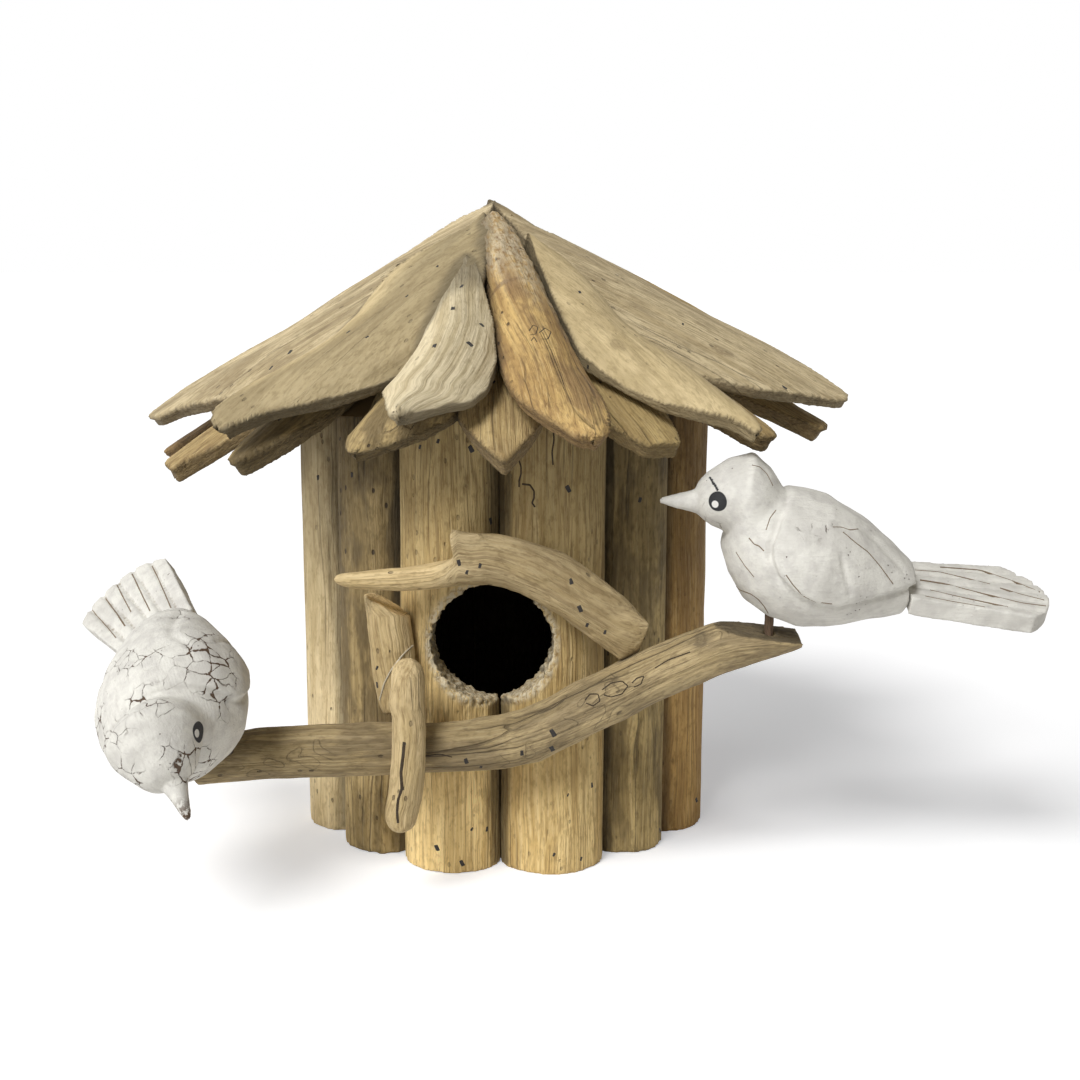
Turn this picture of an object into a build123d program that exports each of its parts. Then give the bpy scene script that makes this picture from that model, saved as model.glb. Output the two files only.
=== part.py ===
"""Driftwood birdhouse: a ring of half-round staves under a two-layer petal roof.

The front faces -Y, +X is to the right and +Z is up. The origin is on the ground, on the axis of
the ring of staves. Lengths are millimetres and angles are degrees.
"""

import os
from math import atan, cos, degrees, pi, radians, sin, sqrt, tan

from build123d import *

# Ring of staves
WALL_RADIUS = 58.0  # from the axis to the flat inner face of a stave
STAVE_HEIGHT = 147.5
STAVE_GAP = 0.5  # between the flat edges of two neighbours
FIRST_SEAM = -0.8  # where the two front staves meet
FLOOR_THICKNESS = 13.0
CEILING_THICKNESS = 13.0
FIT_GAP = 0.15  # between a disc and the staves nailed to it
OVERRUN = 2.0  # how far a cutting tool runs past what it cuts

# Entrance
ENTRANCE_DIAMETER = 38.0
ENTRANCE_DROP = 72.0  # from the stave tops down to its middle
ENTRANCE_LEFT = 3.0  # from the axis to its middle

# Roof: it leans a little to the left, so the staves are trimmed on its plane
ROOF_LEAN = 2.2
ROOF_SHIFT = 2.2  # to the left, where it meets the staves
ROOF_SLOPE = 29.0
CORE_RADIUS = 76.0
CORE_TOP_RADIUS = 5.0
UPPER_REACH = 120.0  # plan radius of a full upper petal
LOWER_REACH = 108.0  # plan radius of a full lower petal
UPPER_WIDTH = 38.0
LOWER_WIDTH = 27.0
PETAL_ROOT_THICKNESS = 9.8
PETAL_TIP_THICKNESS = 5.0
PETAL_CROWN = 4.6  # rise of the rounded top above the sawn edge
PETAL_GAP = 0.3  # between two neighbours in one layer
SEAT_GAP = 0.25  # between two pieces that lie on each other

# Perch branch across the front
PERCH_LENGTH = 181.0
PERCH_RISE = 42.0
PERCH_LEFT = 91.0  # how far the left end lies from the axis
HEADROOM = 13.0  # from the stave tops down to the crown of a bird on the perch's right end
PERCH_RADIUS = 8.0

# Brow branch over the entrance
BROW_LENGTH = 89.0
BROW_LEFT = 44.5
BROW_HALF_HEIGHT = 8.6
BROW_DEPTH = 10.0

# Jamb stub left of the entrance, and the crooked twig that pins the perch
JAMB_RADIUS = 6.9
JAMB_TOP_LEFT = 36.5  # from the axis to the middle of its top
JAMB_FOOT_LEFT = 32.0
JAMB_TOP_GAP = 2.0  # under the brow
JAMB_FOOT_GAP = 1.5  # over the perch
JAMB_CUT_SLOPE = 27.0
TWIG_RADIUS = 5.2
TWIG_LENGTH = 49.5
TWIG_TOP_LEFT = 28.6  # from the axis to the middle of its top
TWIG_FOOT_LEFT = 30.4
TWIG_BOW = 2.0  # to the right, halfway down

# Carved birds
BIRD_LENGTH = 62.0  # from rump to face, along the spine's level
BIRD_GIRTH = 20.5  # half height of the body at its fullest
BEAK_LENGTH = 13.0
BEAK_RADIUS = 4.2
BEAK_TIP_RADIUS = 0.9
TAIL_LENGTH = 45.0
TAIL_ROOT_WIDTH = 24.0
TAIL_END_WIDTH = 34.0
TAIL_THICKNESS = 6.0
FEATHER_COUNT = 6
FEATHER_GROOVE = 1.6
LEG_RADIUS = 1.4
LEG_GAP = 0.1
LEG_REACH = 7.5  # half the leg's length: it stands in a socket at each end
LEFT_LEG_STAND = 2.2  # from the perch's skin to the middle of the leg
RIGHT_LEG_STAND = 2.2

# Staves clockwise from the front seam: name, angle taken up, crown as a share of half the width
STAVE_SHARES = [
    ("front_right_stave", 33.0, 0.97),
    ("right_front_stave", 24.5, 1.00),
    ("right_stave", 28.0, 0.96),
    ("right_rear_stave", 27.0, 1.00),
    ("back_right_outer_stave", 28.0, 0.95),
    ("back_right_stave", 27.0, 1.00),
    ("back_stave", 26.5, 0.97),
    ("back_left_stave", 27.5, 0.95),
    ("back_left_outer_stave", 27.0, 1.00),
    ("left_rear_stave", 27.0, 0.96),
    ("left_stave", 28.0, 0.98),
    ("left_front_stave", 25.5, 0.98),
    ("front_left_stave", 31.0, 1.00),
]

# Petals clockwise: name, azimuth, how far its two seams are pushed out as a share of its root width,
# slant of its sawn end, how far it is tilted up off the slope, then shares of the layer's reach
# (root, tip) and width (root, belly, tip)
UPPER_PETAL_SHARES = [
    ("upper_petal_front", 13.5, 0.69, 22.0, 0.0, 0.060, 0.955, 0.36, 0.68, 0.30),
    ("upper_petal_front_right", 43.0, 0.00, 14.0, 0.0, 0.170, 0.950, 0.10, 0.97, 0.20),
    ("upper_petal_right", 76.0, 0.00, 0.0, 2.2, 0.018, 0.985, 0.10, 1.05, 0.12),
    ("upper_petal_right_rear", 111.0, 0.00, -16.0, 2.2, 0.018, 0.990, 0.10, 0.97, 0.24),
    ("upper_petal_back_right", 143.0, 0.00, 0.0, 0.0, 0.030, 0.950, 0.12, 0.95, 0.14),
    ("upper_petal_back", 177.0, 0.00, 18.0, 0.0, 0.018, 0.940, 0.10, 0.90, 0.28),
    ("upper_petal_back_left", 211.0, 0.00, 0.0, 0.0, 0.030, 0.970, 0.12, 0.95, 0.16),
    ("upper_petal_left_rear", 243.0, 0.00, -14.0, 2.2, 0.018, 1.020, 0.10, 0.97, 0.20),
    ("upper_petal_left", 275.0, 0.00, 0.0, 2.6, 0.018, 1.035, 0.10, 1.05, 0.12),
    ("upper_petal_front_left", 310.0, 0.00, 12.0, 1.0, 0.022, 0.915, 0.10, 1.10, 0.22),
    ("upper_petal_short", 345.0, 0.00, -14.0, 0.0, 0.210, 0.820, 0.20, 0.92, 0.54),
]
LOWER_PETAL_SHARES = [
    ("lower_petal_front", 2.0, 0.00, 0.0, 0.0, 0.26, 0.955, 0.40, 1.07, 0.06),
    ("lower_petal_front_right", 29.0, 0.00, 12.0, 0.0, 0.26, 0.960, 0.40, 1.03, 0.40),
    ("lower_petal_right_front", 52.0, 0.00, 0.0, 0.0, 0.27, 0.975, 0.33, 0.90, 0.26),
    ("lower_petal_right", 75.0, 0.00, 10.0, 0.0, 0.26, 1.020, 0.36, 0.95, 0.30),
    ("lower_petal_right_rear", 103.0, 0.00, 0.0, 0.0, 0.26, 1.000, 0.40, 1.03, 0.20),
    ("lower_petal_back_right_outer", 131.0, 0.00, -12.0, 0.0, 0.26, 0.970, 0.40, 1.03, 0.40),
    ("lower_petal_back_right", 159.0, 0.00, 0.0, 0.0, 0.26, 1.000, 0.40, 1.03, 0.18),
    ("lower_petal_back_left", 187.0, 0.00, 15.0, 0.0, 0.26, 0.960, 0.40, 1.03, 0.40),
    ("lower_petal_back_left_outer", 215.0, 0.00, 0.0, 0.0, 0.26, 1.000, 0.40, 1.03, 0.20),
    ("lower_petal_left_rear", 243.0, 0.00, -10.0, 0.0, 0.26, 0.980, 0.40, 1.03, 0.34),
    ("lower_petal_left", 270.0, 0.00, 0.0, 0.0, 0.26, 1.060, 0.36, 0.93, 0.16),
    ("lower_petal_left_front", 293.0, 0.00, 14.0, 0.0, 0.26, 1.075, 0.33, 0.90, 0.40),
    ("lower_petal_front_left_outer", 313.0, 0.00, 0.0, 0.0, 0.28, 0.980, 0.31, 0.88, 0.18),
    ("lower_petal_front_left", 335.0, 0.00, -12.0, 0.0, 0.26, 0.925, 0.36, 1.00, 0.54),
]
BELLY_SHARE = 0.62  # where along its length a petal is widest
NOSE_SHARE = 0.6  # how far a tip's round runs out, as a share of its half width

# Perch stations from left to right: shares of its length, rise and radius
PERCH_SHARES = [
    (0.000, 0.000, 0.86),
    (0.097, 0.076, 0.99),
    (0.215, 0.100, 1.03),
    (0.334, 0.120, 1.00),
    (0.452, 0.137, 0.98),
    (0.553, 0.213, 1.06),
    (0.654, 0.438, 1.06),
    (0.755, 0.664, 1.00),
    (0.871, 0.874, 0.98),
    (1.000, 1.060, 0.96),
]
PERCH_CUT_SHARE = 0.955  # where along the perch the slanting end cut meets its axis
PERCH_CUT_NORMAL = (0.16, -0.14, 0.97)

# Brow stations from left to right: shares of its length, height above the middle of the entrance
# in entrance diameters, half height and depth. The thin limb runs into the stout one.
BROW_THIN_SHARES = [
    (-0.050, 0.575, 0.15, 0.28),
    (0.000, 0.572, 0.31, 0.52),
    (0.157, 0.575, 0.44, 0.76),
    (0.280, 0.605, 0.50, 0.90),
    (0.360, 0.640, 0.54, 0.95),
    (0.440, 0.665, 0.58, 0.95),
]
BROW_STOUT_SHARES = [
    (0.345, 0.765, 0.74, 0.90),
    (0.430, 0.750, 0.90, 1.00),
    (0.530, 0.718, 0.93, 1.00),
    (0.670, 0.590, 0.98, 1.00),
    (0.810, 0.370, 1.00, 1.00),
    (0.915, 0.175, 0.93, 0.95),
    (0.980, 0.085, 0.62, 0.75),
]
BROW_REST_SHARE = 1.04  # of the perch's radius, from its axis up to what rests on it

# Jamb stations from the foot: shares of its length and radius
JAMB_SHARES = [
    (0.00, 0.72),
    (0.12, 0.90),
    (0.50, 1.00),
    (1.00, 0.98),
]

# Twig stations from the top: shares of its length, of the way forward from the jamb to the front
# of the perch, and of its radius
TWIG_SHARES = [
    (0.00, 0.02, 0.60),
    (0.05, 0.16, 0.93),
    (0.24, 0.72, 1.02),
    (0.54, 1.00, 1.00),
    (0.78, 1.01, 0.98),
    (0.95, 0.97, 0.86),
    (1.00, 0.95, 0.60),
]
TWIG_PIN_SHARE = 0.57  # where along the twig it crosses the perch

# Bird sections: forward and up as shares of the bird's length, half height and half width as
# shares of its girth, and the pitch of the section's normal
BIRD_SHARES = [
    (-0.440, -0.140, 0.39, 0.57, 6.0),
    (-0.231, -0.076, 0.71, 0.86, 10.0),
    (0.011, -0.006, 0.99, 1.09, 14.0),
    (0.229, 0.081, 0.88, 0.98, 21.0),
    (0.305, 0.213, 0.62, 0.71, 44.0),
    (0.358, 0.329, 0.63, 0.68, 18.0),
    (0.510, 0.300, 0.39, 0.43, -4.0),
    (0.566, 0.290, 0.22, 0.24, -6.0),
]
BEAK_SHARES = (0.545, 0.289)
LEG_SHARES = (0.205, -1.000)  # to the middle of the leg: forward in lengths, up in girths
CROWN_SHARE = 0.481  # height of the crown over the bird's middle, by its length
TAIL_CORNER_SHARE = 0.80  # where along the tail its sides end
TAIL_START_SHARE = -0.15  # how far the blank runs into the rump before it is cut to it

# Poses: forward and up directions of each bird, and the tail's turn, drop and roll
LEFT_FORWARD = (0.43, -0.62, -0.65)
LEFT_UP = (-0.39, -0.776, 0.485)
LEFT_TAIL_TURN = -20.0
LEFT_TAIL_DROP = 24.0
LEFT_TAIL_ROLL = 15.0
RIGHT_FORWARD = (-1.0, 0.0, 0.0)
RIGHT_UP = (0.0, 0.0, 1.0)
RIGHT_TAIL_TURN = -5.0
RIGHT_TAIL_DROP = 7.0
RIGHT_TAIL_ROLL = 15.0
LEFT_LEG_SHARE = 0.062  # where along the perch each leg stands
RIGHT_LEG_SHARE = 0.955

# What follows from the sizes above
_, front_angle, front_crown_share = STAVE_SHARES[0]
front_half_angle = front_angle / 2
front_azimuth = FIRST_SEAM + front_half_angle
front_half_width = WALL_RADIUS * tan(radians(front_half_angle)) - STAVE_GAP / 2
front_face = WALL_RADIUS * cos(radians(front_azimuth)) + front_half_width * front_crown_share
entrance_radius = ENTRANCE_DIAMETER / 2
entrance_height = STAVE_HEIGHT - ENTRANCE_DROP
crown_height = RIGHT_LEG_STAND - BIRD_GIRTH * LEG_SHARES[1] + BIRD_LENGTH * CROWN_SHARE
perch_foot = STAVE_HEIGHT - HEADROOM - crown_height - PERCH_RISE
roof_plane = Plane(
    origin=(-ROOF_SHIFT, 0, STAVE_HEIGHT),
    x_dir=(cos(radians(ROOF_LEAN)), 0, sin(radians(ROOF_LEAN))),
    z_dir=(-sin(radians(ROOF_LEAN)), 0, cos(radians(ROOF_LEAN))),
)
core_height = CORE_RADIUS * tan(radians(ROOF_SLOPE))
lower_lift = SEAT_GAP
upper_lift = lower_lift + PETAL_ROOT_THICKNESS + SEAT_GAP
perch_depth = front_face + SEAT_GAP + PERCH_RADIUS * max(share for _, _, share in PERCH_SHARES)

os.makedirs("parts", exist_ok=True)


def save(part, name):
    """Label a finished piece and write its file."""
    part.label = name
    export_step(part, f"parts/{name}.step")


def outward(azimuth):
    """Level direction at an azimuth measured from the front towards the right."""
    return Vector(sin(radians(azimuth)), -cos(radians(azimuth)), 0)


def make_stave(name, azimuth, angle, crown_share):
    """Half-round stave: flat face inwards, trimmed on the roof plane, the front two cut for the entrance."""
    foot_plane = Plane(
        origin=outward(azimuth) * WALL_RADIUS,
        x_dir=outward(azimuth + 90),
        z_dir=(0, 0, 1),
    )
    half_width = WALL_RADIUS * tan(radians(angle / 2)) - STAVE_GAP / 2
    with BuildPart() as stave:
        with BuildSketch(foot_plane):
            with BuildLine():
                flat = Line((-half_width, 0), (half_width, 0))
                ThreePointArc(flat @ 1, (0, -half_width * crown_share), flat @ 0)
            make_face()
        extrude(amount=STAVE_HEIGHT + front_face * tan(radians(ROOF_LEAN)) + OVERRUN)
        split(bisect_by=roof_plane, keep=Keep.BOTTOM)
        if name.startswith("front"):
            with BuildSketch(Plane.XZ):
                with Locations((-ENTRANCE_LEFT, entrance_height)):
                    Circle(entrance_radius)
            extrude(amount=front_face + OVERRUN, mode=Mode.SUBTRACT)
    save(stave.part, name)


def make_discs():
    """Floor and ceiling discs that the staves are nailed to."""
    disc_radius = WALL_RADIUS - FIT_GAP
    with BuildPart() as floor:
        with BuildSketch():
            Circle(disc_radius)
        extrude(amount=FLOOR_THICKNESS)
    save(floor.part, "floor_disc")

    with BuildPart() as ceiling:
        with BuildSketch(Plane.XY.offset(STAVE_HEIGHT - CEILING_THICKNESS)):
            Circle(disc_radius)
        extrude(amount=2 * CEILING_THICKNESS)
        split(bisect_by=roof_plane, keep=Keep.BOTTOM)
    save(ceiling.part, "ceiling_disc")


def make_roof_core():
    """Turned cone that the petals are nailed to. It sits on the trimmed staves."""
    with BuildPart() as core:
        with BuildSketch(Plane(roof_plane.origin, roof_plane.x_dir, roof_plane.y_dir * -1)):
            top_height = core_height - CORE_TOP_RADIUS * tan(radians(ROOF_SLOPE))
            with BuildLine():
                Polyline(
                    (0, 0),
                    (CORE_RADIUS, 0),
                    (CORE_TOP_RADIUS, top_height),
                    (0, top_height),
                    close=True,
                )
            make_face()
        revolve(axis=Axis(roof_plane.origin, roof_plane.z_dir))
    save(core.part, "roof_core")


def petal_plane(azimuth, lift, tilt):
    """Plane of a petal's flat underside. Its x runs down the slope from the roof's axis."""
    away = roof_plane.x_dir * sin(radians(azimuth)) - roof_plane.y_dir * cos(radians(azimuth))
    up = roof_plane.z_dir
    slope = radians(ROOF_SLOPE - tilt)
    down_slope = away * cos(slope) - up * sin(slope)
    normal = away * sin(slope) + up * cos(slope)
    peak = roof_plane.origin + up * (core_height + lift / cos(radians(ROOF_SLOPE)))
    return Plane(origin=peak, x_dir=down_slope, z_dir=normal)


def seam_plane(azimuth, push):
    """Upright plane of a seam, pushed sideways off the roof's axis, facing clockwise."""
    turn = radians(azimuth + 90)
    across = roof_plane.x_dir * sin(turn) - roof_plane.y_dir * cos(turn)
    return Plane(origin=roof_plane.origin + across * push, z_dir=across)


def make_petal(name, azimuth, seams, slant_cut, tilt, lift, reach, width, root_share, tip_share, *widths):
    """Petal sawn to a leaf outline from a half-round billet that thins towards its tip."""
    plane = petal_plane(azimuth, lift, tilt)
    slant = reach / cos(radians(ROOF_SLOPE))
    root = slant * root_share
    end = slant * tip_share
    neck_half, belly_half, tip_half = (width / 2 * share for share in widths)
    nose = tip_half * NOSE_SHARE
    widest = root + (end - root) * BELLY_SHARE
    billet_radius = (belly_half**2 + PETAL_CROWN**2) / (2 * PETAL_CROWN)
    thinning = degrees(atan((PETAL_ROOT_THICKNESS - PETAL_TIP_THICKNESS) / (end - root)))
    billet_axis = Plane(
        origin=plane.from_local_coords((root, 0, PETAL_ROOT_THICKNESS - billet_radius)),
        x_dir=plane.y_dir,
        z_dir=plane.x_dir * cos(radians(thinning)) - plane.z_dir * sin(radians(thinning)),
    )
    with BuildPart() as petal:
        with BuildSketch(plane):
            with BuildLine():
                side = ThreePointArc((root, neck_half), (widest, belly_half), (end - nose, tip_half))
                point = ThreePointArc(side @ 1, (end, 0), (end - nose, -tip_half))
                other = ThreePointArc(point @ 1, (widest, -belly_half), (root, -neck_half))
                Line(other @ 1, side @ 0)
            make_face()
        extrude(amount=PETAL_ROOT_THICKNESS + OVERRUN)
        with BuildSketch(billet_axis.offset(-OVERRUN)):
            Circle(billet_radius)
        extrude(amount=(end - root) + 2 * OVERRUN, mode=Mode.INTERSECT)
        if slant_cut:
            square = Plane(plane.from_local_coords((end - nose, 0, 0)), plane.y_dir, plane.x_dir)
            split(bisect_by=square.rotated((0, slant_cut, 0)), keep=Keep.BOTTOM)
        split(bisect_by=seam_plane(*seams[0]).offset(PETAL_GAP / 2), keep=Keep.TOP)
        split(bisect_by=seam_plane(*seams[1]).offset(-PETAL_GAP / 2), keep=Keep.BOTTOM)
    save(petal.part, name)


def make_layer(rows, lift, reach, width):
    """One layer of petals, each trimmed to the seams that it shares with its neighbours."""
    seams = []
    for this, following in zip(rows, rows[1:] + rows[:1]):
        step = (following[1] - this[1]) % 360
        push = (this[2] * this[7] - following[2] * following[7]) * width / 2
        seams.append((this[1] + step / 2, push))
    for index, (name, azimuth, _, slant_cut, tilt, *shares) in enumerate(rows):
        sides = (seams[index - 1], seams[index])
        make_petal(name, azimuth, sides, slant_cut, tilt, lift, reach, width, *shares)


def directions(points):
    """Direction of a limb at each of its points, from the points beside it."""
    last = len(points) - 1
    return [
        (points[min(i + 1, last)] - points[max(i - 1, 0)]).normalized() for i in range(len(points))
    ]


def refined(rows):
    """Station table with a row put in midway between each two, on a smooth curve through them."""
    first = [2 * a - b for a, b in zip(rows[0], rows[1])]
    last = [2 * a - b for a, b in zip(rows[-1], rows[-2])]
    padded = [first, *rows, last]
    table = []
    for before, low, high, after in zip(padded, padded[1:], padded[2:], padded[3:]):
        table.append(list(low))
        table.append([(9 * (b + c) - a - d) / 16 for a, b, c, d in zip(before, low, high, after)])
    return table + [list(rows[-1])]


def perch_point(length_share, rise_share):
    """Point on the perch's axis."""
    return Vector(
        -PERCH_LEFT + PERCH_LENGTH * length_share,
        -perch_depth,
        perch_foot + PERCH_RISE * rise_share,
    )


def perch_at(length_share):
    """Point on the straight run between the two perch stations around a share of its length."""
    for low, high in zip(PERCH_SHARES, PERCH_SHARES[1:]):
        if low[0] <= length_share <= high[0]:
            along = (length_share - low[0]) / (high[0] - low[0])
            return perch_point(length_share, low[1] + (high[1] - low[1]) * along)
    raise ValueError("the share lies off the perch")


def make_perch(legs):
    """Crooked perch branch, cut on a slant at its right end and drilled for the birds' legs."""
    stations = refined(PERCH_SHARES)
    points = [perch_point(length, rise) for length, rise, _ in stations]
    cut_plane = Plane(origin=perch_at(PERCH_CUT_SHARE), z_dir=PERCH_CUT_NORMAL)
    with BuildPart() as perch:
        for point, along, shares in zip(points, directions(points), stations):
            with BuildSketch(Plane(origin=point, x_dir=(0, 1, 0), z_dir=along)):
                Circle(PERCH_RADIUS * shares[2])
        loft(ruled=True)
        split(bisect_by=cut_plane, keep=Keep.BOTTOM)
        for leg_plane in legs:
            with BuildSketch(leg_plane):
                Circle(LEG_RADIUS + LEG_GAP)
            extrude(amount=LEG_REACH + LEG_GAP, mode=Mode.SUBTRACT)
    save(perch.part, "perch_branch")


def perch_below(offset):
    """Point on the perch's axis at a distance to the right of the house's axis."""
    return perch_at((offset + PERCH_LEFT) / PERCH_LENGTH)


def brow_point(length_share, height_share, half_height):
    """Point on the brow's axis, with its back on the front staves and its right end on the perch."""
    offset = -BROW_LEFT + BROW_LENGTH * length_share
    rest = perch_below(offset).Z + PERCH_RADIUS * BROW_REST_SHARE + half_height
    arch = entrance_height + ENTRANCE_DIAMETER * height_share
    return Vector(offset, -(front_face + SEAT_GAP + BROW_DEPTH / 2), max(arch, rest))


def make_brow():
    """Brow branch over the entrance: a stout limb whose right end rests on the perch, and a thin limb."""
    with BuildPart() as brow:
        for shares_table in (BROW_STOUT_SHARES, BROW_THIN_SHARES):
            stations = refined(shares_table)
            points = [brow_point(row[0], row[1], BROW_HALF_HEIGHT * row[2]) for row in stations]
            for point, along, shares in zip(points, directions(points), stations):
                with BuildSketch(Plane(origin=point, x_dir=(0, 1, 0), z_dir=along)):
                    Ellipse(BROW_DEPTH / 2 * shares[3], BROW_HALF_HEIGHT * shares[2])
            loft(ruled=True)
    save(brow.part, "brow_branch")


def beside_stave(left, radius):
    """Depth at which an upright limb left of the axis touches the rounded front-left stave."""
    _, angle, crown_share = STAVE_SHARES[-1]
    azimuth = FIRST_SEAM - angle / 2
    stave_radius = WALL_RADIUS * tan(radians(angle / 2)) * crown_share
    away = left + WALL_RADIUS * sin(radians(azimuth))
    spread = stave_radius + radius + SEAT_GAP
    return WALL_RADIUS * cos(radians(azimuth)) + sqrt(max(spread**2 - away**2, 0))


def make_jamb():
    """Stub beside the entrance, between brow and perch, with a slanting cut on top."""
    foot_height = perch_below(-JAMB_FOOT_LEFT).Z + PERCH_RADIUS + JAMB_FOOT_GAP
    over = BROW_THIN_SHARES[2]
    brow_half = BROW_HALF_HEIGHT * over[2]
    top_height = brow_point(over[0], over[1], brow_half).Z - brow_half - JAMB_TOP_GAP
    foot = Vector(-JAMB_FOOT_LEFT, -beside_stave(JAMB_FOOT_LEFT, JAMB_RADIUS), foot_height)
    top = Vector(-JAMB_TOP_LEFT, -beside_stave(JAMB_TOP_LEFT, JAMB_RADIUS), top_height)
    stations = refined(JAMB_SHARES)
    points = [foot + (top - foot) * share for share, _ in stations]
    slope = radians(JAMB_CUT_SLOPE)
    cut_point = top + Vector(-JAMB_RADIUS, 0, 0)
    cut_plane = Plane(origin=cut_point, z_dir=(sin(slope), 0, cos(slope)))
    with BuildPart() as jamb:
        for point, along, shares in zip(points, directions(points), stations):
            with BuildSketch(Plane(origin=point, x_dir=(0, 1, 0), z_dir=along)):
                Circle(JAMB_RADIUS * shares[1])
        loft(ruled=True)
        split(bisect_by=cut_plane, keep=Keep.BOTTOM)
    save(jamb.part, "jamb_stub")


def make_twig():
    """Crooked twig that leans on the jamb and pins the perch from the front."""
    perch_front = perch_depth + PERCH_RADIUS * PERCH_SHARES[3][2] + SEAT_GAP + TWIG_RADIUS
    jamb_front = beside_stave(JAMB_FOOT_LEFT, JAMB_RADIUS) + JAMB_RADIUS + TWIG_RADIUS
    pin_height = perch_below(-TWIG_FOOT_LEFT).Z
    stations = refined(TWIG_SHARES)
    points = [
        Vector(
            -TWIG_TOP_LEFT - (TWIG_FOOT_LEFT - TWIG_TOP_LEFT) * drop + TWIG_BOW * sin(pi * drop),
            -(jamb_front + (perch_front - jamb_front) * forward),
            pin_height + TWIG_LENGTH * (TWIG_PIN_SHARE - drop),
        )
        for drop, forward, _ in stations
    ]
    with BuildPart() as twig:
        for point, along, shares in zip(points, directions(points), stations):
            with BuildSketch(Plane(origin=point, x_dir=(1, 0, 0), z_dir=along)):
                Circle(TWIG_RADIUS * shares[2])
        loft(ruled=True)
    save(twig.part, "crooked_twig")


def bird_frame(leg_middle, forward, up):
    """Frame of a bird over its leg: x runs forward through the beak and z up through its crown."""
    centre = leg_middle - forward * (BIRD_LENGTH * LEG_SHARES[0]) - up * (BIRD_GIRTH * LEG_SHARES[1])
    return Plane(origin=centre, x_dir=forward, z_dir=up)


def bird_section(frame, row):
    """Plane of one section through a bird, square to its spine there."""
    forward, up, pitch = BIRD_LENGTH * row[0], BIRD_LENGTH * row[1], radians(row[4])
    along = frame.x_dir * cos(pitch) + frame.z_dir * sin(pitch)
    return Plane(origin=frame.from_local_coords((forward, 0, up)), x_dir=frame.y_dir, z_dir=along)


def make_bird(side, frame, leg_plane, tail_turn, tail_drop, tail_roll):
    """Bird carved in one piece from rump to beak, with a fan tail let on to the rump."""
    beak_foot = frame.from_local_coords((BIRD_LENGTH * BEAK_SHARES[0], 0, BIRD_LENGTH * BEAK_SHARES[1]))
    beak_plane = Plane(origin=beak_foot, x_dir=frame.y_dir, z_dir=frame.x_dir)
    with BuildPart() as body:
        for row in refined(BIRD_SHARES):
            with BuildSketch(bird_section(frame, row)):
                Ellipse(BIRD_GIRTH * row[3], BIRD_GIRTH * row[2])
        loft(ruled=True)
        with BuildSketch(beak_plane):
            Circle(BEAK_RADIUS)
        with BuildSketch(beak_plane.offset(BEAK_LENGTH)):
            Circle(BEAK_TIP_RADIUS)
        loft(ruled=True)
        with BuildSketch(leg_plane):
            Circle(LEG_RADIUS + LEG_GAP)
        extrude(amount=-(LEG_REACH + LEG_GAP), mode=Mode.SUBTRACT)
    save(body.part, f"{side}_bird_body")

    rump = bird_section(frame, BIRD_SHARES[0])
    turn, drop, roll = radians(tail_turn), radians(tail_drop), radians(tail_roll)
    tail_along = frame.x_dir * -cos(turn) * cos(drop) + frame.y_dir * sin(turn) - frame.z_dir * sin(drop)
    tail_across = (frame.z_dir * cos(roll) + frame.y_dir * sin(roll)).cross(tail_along)
    tail_plane = Plane(origin=rump.origin, x_dir=tail_along, z_dir=tail_along.cross(tail_across))
    start, corner = TAIL_LENGTH * TAIL_START_SHARE, TAIL_LENGTH * TAIL_CORNER_SHARE
    root_half, end_half = TAIL_ROOT_WIDTH / 2, TAIL_END_WIDTH / 2
    fan_angle = degrees(atan((end_half - root_half) / corner)) * 2
    with BuildPart() as tail:
        with BuildSketch(tail_plane.offset(-TAIL_THICKNESS / 2)):
            with BuildLine():
                edge = Line((start, root_half), (corner, end_half))
                end = ThreePointArc(edge @ 1, (TAIL_LENGTH, 0), (corner, -end_half))
                other = Line(end @ 1, (start, -root_half))
                Line(other @ 1, edge @ 0)
            make_face()
        extrude(amount=TAIL_THICKNESS)
        for index in range(1, FEATHER_COUNT):
            share = index / FEATHER_COUNT - 0.5
            angle = radians(fan_angle * share)
            groove_along = tail_plane.x_dir * cos(angle) + tail_plane.y_dir * sin(angle)
            groove_foot = tail_plane.from_local_coords(
                (start, TAIL_ROOT_WIDTH * share, TAIL_THICKNESS / 2)
            )
            with BuildSketch(Plane(groove_foot, tail_plane.z_dir, groove_along)):
                Rectangle(FEATHER_GROOVE, FEATHER_GROOVE, rotation=45)
            extrude(amount=TAIL_LENGTH * 2, mode=Mode.SUBTRACT)
        split(bisect_by=rump.offset(-SEAT_GAP), keep=Keep.BOTTOM)
    save(tail.part, f"{side}_bird_tail")

    with BuildPart() as leg:
        with BuildSketch(leg_plane.offset(-LEG_REACH)):
            Circle(LEG_RADIUS)
        extrude(amount=2 * LEG_REACH)
    save(leg.part, f"{side}_bird_leg")


first_azimuth = FIRST_SEAM
for stave_name, stave_angle, crown in STAVE_SHARES:
    make_stave(stave_name, first_azimuth + stave_angle / 2, stave_angle, crown)
    first_azimuth += stave_angle
make_discs()
make_roof_core()
make_layer(UPPER_PETAL_SHARES, upper_lift, UPPER_REACH, UPPER_WIDTH)
make_layer(LOWER_PETAL_SHARES, lower_lift, LOWER_REACH, LOWER_WIDTH)

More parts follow.
